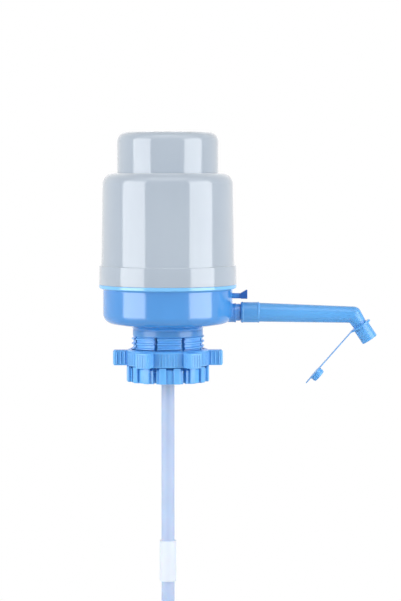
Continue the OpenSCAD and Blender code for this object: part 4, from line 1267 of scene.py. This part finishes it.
@dataclass
class SpoutArm:
    """The spout: a socket on the nozzle, a falling tapered tube, an elbow and a short leg."""

    socket_x: float = 71.4
    socket_end_x: float = 89.7
    socket_r: float = 10.27
    axis_z: float = 19.5
    root_r: float = 9.3
    end_r: float = 8.05
    fall: float = 1.5
    elbow_x: float = 181.868
    elbow_z: float = 17.086
    leg_tilt: float = 146.5
    leg_l: float = 12.5
    leg_in: float = 9.4
    leg_r: float = 6.9
    bore_r: float = 5.5
    spigot_r: float = 6.95
    spigot_end_x: float = 84.1

    def build(self) -> None:
        """Join arm, elbow and leg, bore them through, and dress the spout."""
        piece = sweep("spout_arm", self._socket() + self._arm())
        blend_in(piece, self._ball("elbow", self.end_r), Mix.ADD)
        blend_in(piece, self._leg("leg", self.end_r, self.leg_r, self.leg_l + self.leg_in), Mix.ADD)
        bore = lathe("bore", [
            Corner(self.spigot_r + 0.6, self.socket_x - 1.0), Corner(self.spigot_r + 0.6, self.socket_x),
            Corner(self.spigot_r, self.socket_x + 0.6), Corner(self.spigot_r, self.spigot_end_x),
            Corner(self.bore_r, self.spigot_end_x + 1.4), Corner(self.bore_r, self.socket_end_x + 2)],
            sides=64, axis_z=self.axis_z)
        run = sweep("bore_run", [
            Station(self.socket_end_x + 1.9, self.axis_z, self.bore_r, 90),
            Station(self.elbow_x, self.elbow_z, self.bore_r, 90 + self.fall)], sides=64)
        for tool in (bore, run, self._ball("bore_elbow", self.bore_r),
                     self._leg("bore_leg", self.bore_r, self.bore_r, self.leg_l + self.leg_in + 1)):
            blend_in(piece, tool, Mix.CUT)
        tidy_mesh(piece)
        dress(piece, Finish.SKY_PLASTIC, "spout", "spout")

    def _arm(self) -> list[Station]:
        """Space the rings of the falling tube, from the socket to the elbow.

        Returns:
            The rings, in order.
        """
        run_l = self.elbow_x - self.socket_end_x
        fall = math.tan(math.radians(self.fall))
        return [Station(self.elbow_x - run_l * (1 - share), self.elbow_z + fall * run_l * (1 - share),
                        self.root_r + (self.end_r - self.root_r) * share, 90 + self.fall)
                for share in (0.0, 0.03, 0.2, 0.4, 0.6, 0.8, 1.0)]

    def _leg(self, name: str, r: float, end_r: float, length: float) -> bpy.types.Object:
        """Sweep the leg, or its bore, down from the elbow.

        Args:
            name: The new piece's name.
            r: The radius at the elbow.
            end_r: The radius at the mouth.
            length: The length from the elbow.

        Returns:
            The leg.
        """
        down = Vector((math.sin(math.radians(self.leg_tilt)), math.cos(math.radians(self.leg_tilt))))
        elbow = Vector((self.elbow_x, self.elbow_z))
        sizes = ((0.0, r), (self.leg_l, end_r), (length - 0.4, end_r), (length, end_r - 0.3))
        return sweep(name, [Station(*(elbow + down * at), size, self.leg_tilt) for at, size in sizes])

    def _ball(self, name: str, r: float) -> bpy.types.Object:
        """Make the ball that fills the corner of the elbow.

        Args:
            name: The new piece's name.
            r: The tube's radius there.

        Returns:
            The ball.
        """
        deselect()
        bpy.ops.mesh.primitive_uv_sphere_add(
            segments=96, ring_count=48, radius=(r + 0.03) * MM, location=(self.elbow_x * MM, 0, self.elbow_z * MM))
        ball = bpy.context.object
        ball.name = name
        settle(ball)
        return ball

    def _socket(self) -> list[Station]:
        """Shape the rings of the socket, its ends rounded and a fine bead at its mouth.

        Returns:
            The rings, in order.
        """
        r, x0, x1 = self.socket_r, self.socket_x, self.socket_end_x
        shape = [(x0, r - 1.0), (x0 + 0.15, r - 0.6), (x0 + 0.45, r - 0.25), (x0 + 0.9, r),
                 (x0 + 2.3, r), (x0 + 2.6, r - 0.3), (x1 - 1.9, r - 0.3), (x1 - 1.6, r - 0.02),
                 (x1 - 0.75, r - 0.02), (x1 - 0.4, r - 0.2), (x1 - 0.1, r - 0.55)]
        return [Station(x, self.axis_z, size, 90) for x, size in shape]


@dataclass
class SpoutSleeve:
    """The sleeve with its flange on the leg's end, and the root of the strap."""

    x: float = 188.768
    z: float = 6.663
    tilt: float = 146.5
    length: float = 16.8
    bore_r: float = 7.05
    seat_r: float = 6.95
    seat_l: float = 9.4
    outer_r: float = 8.25
    flange_r: float = 10.7
    flange_t: float = 1.5
    flange_back: float = 0.5
    root_w: float = 8.0
    root_u: float = 12.4
    strap_w: float = 6.5

    def build(self) -> None:
        """Turn the sleeve, add the strap's root, and set both on the leg's axis."""
        piece = lathe("spout_sleeve", [
            Corner(self.seat_r, -self.flange_back), Corner(self.flange_r, -self.flange_back, 0.35, 3),
            Corner(self.flange_r, self.flange_t, 0.35, 3), Corner(self.outer_r, self.flange_t, 0.35, 3),
            Corner(self.outer_r, self.length, 0.35, 3), Corner(self.bore_r, self.length, 0.35, 3),
            Corner(self.bore_r, self.seat_l), Corner(self.seat_r, self.seat_l)], closed=True, sides=96)
        root = block("root", (8.6, -self.root_w / 2, -self.flange_back), (self.root_u, self.root_w / 2, self.flange_t))
        for vertex in root.data.vertices:
            if vertex.co.x > 10 * MM:
                vertex.co.z = (0.15 if vertex.co.z < 0 else 1.05) * MM
                vertex.co.y *= self.strap_w / self.root_w
        soften(root, 0.3, 2)
        blend_in(piece, root, Mix.ADD)
        put(piece, (self.x, 0, self.z), (0, self.tilt, 0))
        dress(piece, Finish.SKY_PLASTIC, "spout", "spout_ring")


@dataclass
class Strap:
    """The flat strap with its two living hinges, the pad with its pull tab, and the plug.

    The strap is made lying along X from its first hinge, its plug upwards, and then set in place.
    """

    x: float = 179.342
    z: float = -0.295
    tilt: float = 131.3
    link_l: float = 23.962
    length: float = 52.6
    half_t: float = 0.4
    half_w: float = 3.25
    pad_r: float = 7.9
    tab_reach: float = 13.8
    fold_run: float = 3.2
    rings: int = 15
    plug_r: float = 6.75
    plug_h: float = 5.3

    def build(self) -> None:
        """Make both stretches and the plug, and set them in place."""
        middle = self.link_l / 2
        upper = self._stretch("strap_upper", -0.9, middle, (-0.6, 3.0))
        self._place(upper)
        paint(upper, Finish.SKY_THIN, "strap_link")
        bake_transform(upper)
        fold = (self.link_l - self.fold_run, self.link_l + self.fold_run)
        lower = self._stretch("strap_lower", middle, self.length - 3.0, fold)
        blend_in(lower, self._pad(), Mix.ADD)
        tidy_mesh(lower)
        self._place(lower)
        paint(lower, Finish.SKY_THIN, "cap_strap")
        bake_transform(lower)
        plug = self._plug()
        self._place(plug)
        dress(plug, Finish.SKY_THIN, "plug", "spout_plug")

    def _place(self, piece: bpy.types.Object) -> None:
        """Set a piece that lies along X on the strap's own line."""
        put(piece, (self.x, 0, self.z), (0, self.tilt, 0))

    def _stretch(self, name: str, x0: float, x1: float, fold: Point) -> bpy.types.Object:
        """Make a flat stretch with rounded edges and enough rings where it folds.

        Args:
            name: The new piece's name.
            x0: Where it starts.
            x1: Where it ends.
            fold: Where the rings start and end.

        Returns:
            The stretch, lying along X.
        """
        strip = block(name, (x0, -self.half_w, -self.half_t), (x1, self.half_w, self.half_t), 0.2, 2)
        open_mesh()
        for i in range(self.rings):
            cut_x = (fold[0] + (fold[1] - fold[0]) * i / (self.rings - 1)) * MM
            bpy.ops.mesh.select_all(action="SELECT")
            bpy.ops.mesh.bisect(plane_co=(cut_x, 0, 0), plane_no=(1, 0, 0))
        close_mesh()
        return strip

    def _pad(self) -> bpy.types.Object:
        """Make the round pad under the plug with its rounded pull tab.

        Returns:
            The pad, in its place along the strap.
        """
        pad = lathe("pad", [
            Corner(1.0, -self.half_t), Corner(self.pad_r, -self.half_t, 0.25, 2),
            Corner(self.pad_r, self.half_t, 0.25, 2), Corner(1.0, self.half_t)], sides=64)
        tab = block("tab", (0, -self.half_w, -self.half_t),
                    (self.tab_reach - self.half_w, self.half_w, self.half_t), 0.2, 2)
        end = lathe("tab_end", [
            Corner(1.0, -self.half_t), Corner(self.half_w, -self.half_t, 0.2, 2),
            Corner(self.half_w, self.half_t, 0.2, 2), Corner(1.0, self.half_t)], sides=48)
        put(end, (self.tab_reach - self.half_w, 0, 0))
        for tool in (tab, end):
            blend_in(pad, tool, Mix.ADD)
            tidy_mesh(pad)  # their faces lie in one plane, so the next union needs a clean mesh
        put(pad, (self.length, 0, 0))
        return pad

    def _plug(self) -> bpy.types.Object:
        """Turn the hollow plug with its lead-in and a slight sealing bead.

        Returns:
            The plug, in its place along the strap.
        """
        r, h, low = self.plug_r, self.plug_h, self.half_t - 0.1
        plug = lathe("spout_stopper", [
            Corner(1.0, low), Corner(r + 0.1, low, 0.15, 2), Corner(r + 0.1, low + 1.1, 0.2, 2),
            Corner(r - 0.05, low + 1.3, 0.1, 1), Corner(r - 0.05, h - 2.0, 0.1, 1),
            Corner(r + 0.1, h - 1.5, 0.2, 2), Corner(r - 0.05, h - 1.0, 0.1, 1), Corner(r - 0.6, h + 0.4, 0.3, 3),
            Corner(r - 1.7, h + 0.4, 0.25, 2), Corner(r - 1.9, 2.4, 0.5, 3), Corner(1.0, 2.4)], sides=96)
        put(plug, (self.length, 0, 0))
        return plug


@dataclass
class VentButton:
    """The vent's stem with its seal collar inside and the wedge-shaped thumb head outside."""

    axis_z: float = 35.7
    tail_x: float = 38.9
    tail_r: float = 1.5
    collar_x: float = 51.4
    collar_t: float = 1.2
    collar_r: float = 5.2
    stem_r: float = 2.6
    head_x: float = 71.4
    head_l: float = 6.5
    half_w: float = 4.0
    drop: float = 2.8
    root_rise: float = 2.7
    tip_rise: float = 5.9
    tip_w: float = 1.0

    def build(self) -> None:
        """Turn the stem, wedge the head, and dress them as one piece."""
        collar_end = self.collar_x + self.collar_t
        piece = lathe("vent_button", [
            Corner(0.4, self.tail_x), Corner(self.tail_r, self.tail_x, 0.4, 3),
            Corner(self.tail_r, self.collar_x, 0.2, 2), Corner(self.collar_r, self.collar_x, 0.2, 2),
            Corner(self.collar_r, collar_end, 0.2, 2), Corner(self.stem_r, collar_end, 0.2, 2),
            Corner(self.stem_r, self.head_x + 0.6), Corner(0.4, self.head_x + 0.6)], sides=48, axis_z=self.axis_z)
        blend_in(piece, self._head(), Mix.ADD)
        dress(piece, Finish.DEEP_BLUE, "vent", "vent_stem")

    def _head(self) -> bpy.types.Object:
        """Make the head's box, drop the back of its top, and round it.

        Returns:
            The head.
        """
        low_z, high_z = self.axis_z - self.drop, self.axis_z + self.tip_rise
        end_x = self.head_x + self.head_l
        head = block("head", (self.head_x, -self.half_w, low_z), (end_x, self.half_w, high_z))
        open_mesh()
        bpy.ops.mesh.bisect(plane_co=((end_x - self.tip_w) * MM, 0, 0), plane_no=(1, 0, 0))
        bpy.ops.mesh.select_all(action="DESELECT")
        bpy.ops.mesh.select_mode(type="VERT")
        close_mesh()
        for vertex in head.data.vertices:
            vertex.select = vertex.co.x < (self.head_x + 0.1) * MM and vertex.co.z > (high_z - 0.1) * MM
        bpy.ops.object.mode_set(mode="EDIT")
        bpy.ops.transform.translate(value=(0, 0, (self.root_rise - self.tip_rise) * MM))
        close_mesh()
        soften(head, 0.45, 3, 20)
        return head


@dataclass
class BellowsCore:
    """The rubber bellows with its clamped foot and lip, and the springs."""

    r: float = 45.9
    root_r: float = 40.0
    wall: float = 1.2
    folds: int = 8
    fold_low_z: float = 62.0
    fold_high_z: float = 144.9
    foot_r: float = 50.5
    foot_z: float = 55.5
    foot_top_z: float = 57.0
    plate_z: float = 147.6
    plate_top_z: float = 150.6
    lip_t: float = 1.5
    lip_in_r: float = 39.95
    groove_r: float = 42.95
    stroke: float = 32.0
    spring_r: float = 20.0
    spring_wire: float = 1.1
    spring_turns: int = 9
    spring_low_z: float = 56.7
    spring_high_z: float = 146.4
    vent_z: float = 35.7
    vent_spring_r: float = 3.4
    vent_spring_wire: float = 0.35
    vent_spring_turns: int = 6
    vent_stroke: float = 3.5
    vent_low_x: float = 41.85
    vent_high_x: float = 50.95

    def build(self) -> None:
        """Make the folded wall, the lip and both springs, and give the wall and each spring its own mesh."""
        folded = self._folded()
        dress(folded, Finish.PALE_RUBBER, "base", "bellows")
        self._close_up(folded)
        dress(self._lip(), Finish.PALE_RUBBER, "press")
        spring = coil("return_coil", self.spring_r, self.spring_wire, self.spring_low_z, self.spring_high_z,
                      self.spring_turns)
        dress(spring, Finish.STEEL, "base", "return_spring")
        self._close_up(spring)
        length = self.vent_high_x - self.vent_low_x
        small = coil("vent_coil", self.vent_spring_r, self.vent_spring_wire, 0.0, length, self.vent_spring_turns)
        put(small, (self.vent_low_x, 0, self.vent_z), (0, 90, 0))
        dress(small, Finish.STEEL, "base", "vent_spring")
        self._close_up(small)

    def _close_up(self, piece: bpy.types.Object) -> None:
        """Give a piece its own copy of its mesh.

        Args:
            piece: The piece.
        """
        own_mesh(piece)

    def _folded(self) -> bpy.types.Object:
        """Turn the folded wall from foot to lip, outside up and inside down.

        Returns:
            The folded wall with its foot.
        """
        top = self.plate_z - self.lip_t - 0.05
        root_r = self.root_r + self.wall
        outside = [
            Corner(self.foot_r, self.foot_z, 0.3, 2), Corner(self.foot_r, self.foot_top_z, 0.3, 2),
            Corner(root_r, self.foot_top_z, 0.6, 2), *self._wave(root_r, self.r),
            Corner(root_r, self.fold_high_z, 0.9, 3), Corner(self.r, top)]
        inside = [
            Corner(self.root_r, self.foot_z), *self._wave(self.root_r, self.r - self.wall),
            Corner(self.root_r, self.fold_high_z, 0.4, 2), Corner(self.root_r, top)]
        return lathe("bellows_folds", outside + inside[::-1], closed=True, sides=96)

    def _wave(self, root_r: float, crest_r: float) -> list[Corner]:
        """Shape the folds on one side of the wall.

        Args:
            root_r: The radius between two folds.
            crest_r: The radius at the middle of a fold.

        Returns:
            The corners, from the lowest fold up.
        """
        pitch = (self.fold_high_z - self.fold_low_z) / self.folds
        wave: list[Corner] = []
        for i in range(self.folds):
            low = self.fold_low_z + pitch * i
            wave += [Corner(root_r, low, 0.9, 3),
                     Corner(crest_r, low + pitch * 0.42, 0.8, 2), Corner(crest_r, low + pitch * 0.58, 0.8, 2)]
        return wave

    def _lip(self) -> bpy.types.Object:
        """Turn the lip that grips the plate's edge.

        Returns:
            The lip.
        """
        under, over = self.plate_z - self.lip_t, self.plate_top_z + self.lip_t
        return lathe("bellows_lip", [
            Corner(self.lip_in_r, under, 0.3, 2), Corner(self.r, under, 0.3, 2), Corner(self.r, over, 0.5, 3),
            Corner(self.lip_in_r, over, 0.4, 2), Corner(self.lip_in_r, self.plate_top_z),
            Corner(self.groove_r, self.plate_top_z), Corner(self.groove_r, self.plate_z),
            Corner(self.lip_in_r, self.plate_z)], closed=True, sides=96)


# ---------------------------------------------------------------- studio


@dataclass(frozen=True)
class Softbox:
    """An upright softbox, hung once on each side.

    distance is from the pump's axis, angle is away from the camera in degrees, w and h are the
    softbox's sides, z is the height of its middle, and power is in watts. Lengths are in metres.
    """

    name: str
    distance: float
    angle: float
    w: float
    h: float
    z: float
    power: float


@dataclass
class Studio:
    """Plain pale floor, white surround that fills in from behind, softboxes and the camera.

    floor_z is in millimetres, and the other places and lengths are in metres.
    """

    floor_z: float = -465.0
    floor_size: float = 12.0
    floor_edge: Point = (0.45, 0.95)
    lens: float = 134.7
    sensor_w: float = 36.0
    sight: float = 50.0
    camera_at: Place = (0.032, -2.2, 0.165)
    look_at: Place = (0.032, 0.0, 0.031)
    boxes: tuple[Softbox, ...] = (
        Softbox("main", 1.5, 61.25, 1.24, 1.5, 0.3, 18.0),
        Softbox("tall", 0.7, 60.0, 0.566, 1.96, 0.52, 3.4))
    top_at: Place = (0.0, -0.9, 1.7)
    top_w: float = 1.6
    top_l: float = 1.2
    top_power: float = 9.0
    fill_low: float = 0.04
    fill_high: float = 0.08
    fill_back: float = 2.4
    back_spread: float = 0.6

    def build(self) -> None:
        """Set up view, world, floor, lamps and camera."""
        bpy.context.scene.view_settings.view_transform = "Standard"
        self._world()
        self._floor()
        for box in self.boxes:
            for side, name in ((-1, "left"), (1, "right")):
                angle = math.radians(box.angle) * side
                place = (math.sin(angle) * box.distance, -math.cos(angle) * box.distance, box.z)
                self._lamp(f"softbox_{box.name}_{name}", place, (0, 0, box.z), (box.w, box.h), box.power)
        self._lamp("softbox_top", self.top_at, (0, 0, 0.1), (self.top_w, self.top_l), self.top_power)
        self._camera()
        log.info("studio: floor, surround, %d softboxes and camera", 2 * len(self.boxes) + 1)

    def _seen(self, tree: bpy.types.NodeTree) -> bpy.types.NodeSocket:
        """Pick the rays that show the surround: camera, glossy and transmission rays.

        Args:
            tree: The node tree.

        Returns:
            The socket that gives 1 for them and 0 for the others.
        """
        path = add_node(tree, "ShaderNodeLightPath")
        shine = add_node(tree, "ShaderNodeMath", {
            0: path.outputs["Is Glossy Ray"], 1: path.outputs["Is Transmission Ray"]}, operation="MAXIMUM")
        return add_node(tree, "ShaderNodeMath", {
            0: path.outputs["Is Camera Ray"], 1: shine.outputs["Value"]}, operation="MAXIMUM").outputs["Value"]

    def _world(self) -> None:
        """Make the surround white to the camera and a soft fill to the object, stronger from behind."""
        world = bpy.data.worlds.new("white_surround")
        bpy.context.scene.world = world
        world.use_nodes = True
        tree = world.node_tree
        tree.nodes.clear()
        where = add_node(tree, "ShaderNodeTexCoord")
        toward = add_node(tree, "ShaderNodeSeparateXYZ", {"Vector": where.outputs["Generated"]})
        level = mapped(tree, toward.outputs["Z"], (-1.0, 1.0), (self.fill_low, self.fill_high))
        back = mapped(tree, toward.outputs["Y"], (self.back_spread, 1.0), (0.0, self.fill_back))
        total = add_node(tree, "ShaderNodeMath", {0: level, 1: back}, operation="ADD")
        fill = add_node(tree, "ShaderNodeBackground", {"Color": linear("#ffffff"), "Strength": total.outputs["Value"]})
        white = add_node(tree, "ShaderNodeBackground", {"Color": linear("#ffffff"), "Strength": 1.0})
        mixed = add_node(tree, "ShaderNodeMixShader", {
            0: self._seen(tree), 1: fill.outputs["Background"], 2: white.outputs["Background"]})
        add_node(tree, "ShaderNodeOutputWorld", {"Surface": mixed.outputs["Shader"]})

    def _floor(self) -> None:
        """Lay a pale floor that keeps the shadow and runs out into the white surround."""
        deselect()
        bpy.ops.mesh.primitive_plane_add(size=self.floor_size, location=(0, 0, self.floor_z * MM))
        floor = bpy.context.object
        floor.name = "floor"
        material = bpy.data.materials.new("matt_white_floor")
        material.use_nodes = True
        tree = material.node_tree
        tree.nodes.clear()
        matt = add_node(tree, "ShaderNodeBsdfDiffuse", {"Color": linear("#f2f3f5")})
        fill = add_node(tree, "ShaderNodeEmission", {"Color": linear("#ffffff"), "Strength": self.fill_low})
        white = add_node(tree, "ShaderNodeEmission", {"Color": linear("#ffffff"), "Strength": 1.0})
        surround = add_node(tree, "ShaderNodeMixShader", {
            0: self._seen(tree), 1: fill.outputs["Emission"], 2: white.outputs["Emission"]})
        where = add_node(tree, "ShaderNodeTexCoord")
        distance = add_node(tree, "ShaderNodeVectorMath", {0: where.outputs["Object"]}, operation="LENGTH")
        edge = mapped(tree, distance.outputs["Value"], self.floor_edge, interpolation_type="SMOOTHSTEP")
        mixed = add_node(tree, "ShaderNodeMixShader", {
            0: edge, 1: matt.outputs["BSDF"], 2: surround.outputs["Shader"]})
        add_node(tree, "ShaderNodeOutputMaterial", {"Surface": mixed.outputs["Shader"]})
        floor.data.materials.append(material)

    def _lamp(self, name: str, place: Place, aim: Place, size: Point, power: float) -> None:
        """Hang a softbox.

        Args:
            name: The lamp's name.
            place: Its place in metres.
            aim: The point that it faces, in metres.
            size: Its width and height in metres.
            power: Its power in watts.
        """
        deselect()
        bpy.ops.object.light_add(type="AREA", location=place)
        lamp = bpy.context.object
        lamp.name = name
        lamp.rotation_euler = (Vector(aim) - Vector(place)).to_track_quat("-Z", "Y").to_euler()
        lamp.data.shape = "RECTANGLE"
        lamp.data.size, lamp.data.size_y = size
        lamp.data.energy = power

    def _camera(self) -> None:
        """Place the camera in front of the pump, a little above the mouth seat, and aim it."""
        deselect()
        bpy.ops.object.camera_add(location=self.camera_at)
        camera = bpy.context.object
        camera.name = "camera"
        aim = Vector(self.look_at) - Vector(self.camera_at)
        camera.rotation_euler = aim.to_track_quat("-Z", "Y").to_euler()
        camera.data.lens = self.lens
        camera.data.sensor_width = self.sensor_w
        camera.data.sensor_fit = "AUTO"
        camera.data.clip_end = self.sight
        bpy.context.scene.camera = camera


NODES_BY_FINISH: dict[Finish, tuple[str, ...]] = {
    Finish.GREY_SHELL: ("press_cap", "outer_cover"),
    Finish.BLUE_SHELL: ("base_bowl", "bellows_ring"),
    Finish.SKY_PLASTIC: (
        "collet", "clamp_nut", "spout", "spout_ring", "strap_link", "cap_strap", "spout_plug"),
    Finish.DEEP_BLUE: ("vent_stem",),
    Finish.MILKY_PLASTIC: ("bellows_plate", "valve_deck", "vent_cage", "tube_coupler"),
    Finish.MILKY_TUBE: ("dip_tube_upper", "dip_tube_lower"),
    Finish.PALE_RUBBER: ("bellows", "neck_gasket"),
    Finish.DARK_RUBBER: ("intake_valve", "outlet_valve", "deck_gasket", "nozzle_o_ring", "vent_seal"),
    Finish.STEEL: ("cap_screws", "deck_screws", "return_spring", "vent_spring"),
}


def dress_nodes() -> None:
    """Give every CAD node its finish, so that those that stay have one."""
    finish_of = {name: finish for finish, names in NODES_BY_FINISH.items() for name in names}
    for name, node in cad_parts.items():
        material = finish_of[name].value.material()
        if not node.data.materials:
            node.data.materials.append(material)
        for slot in node.material_slots:
            slot.material = material
    log.info("finishes on %d nodes", len(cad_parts))


def main() -> None:
    """Build the studio and every sub-assembly."""
    logging.basicConfig(level=logging.INFO, format="%(name)s: %(message)s")
    Studio().build()
    dress_nodes()
    for part in (CoverShell(), CapShell(), BowlShell(), Collet(), ClampNut(), SpoutArm(), SpoutSleeve(),
                 Strap(), VentButton(), BellowsCore()):
        part.build()


if __name__ == "__main__":
    main()
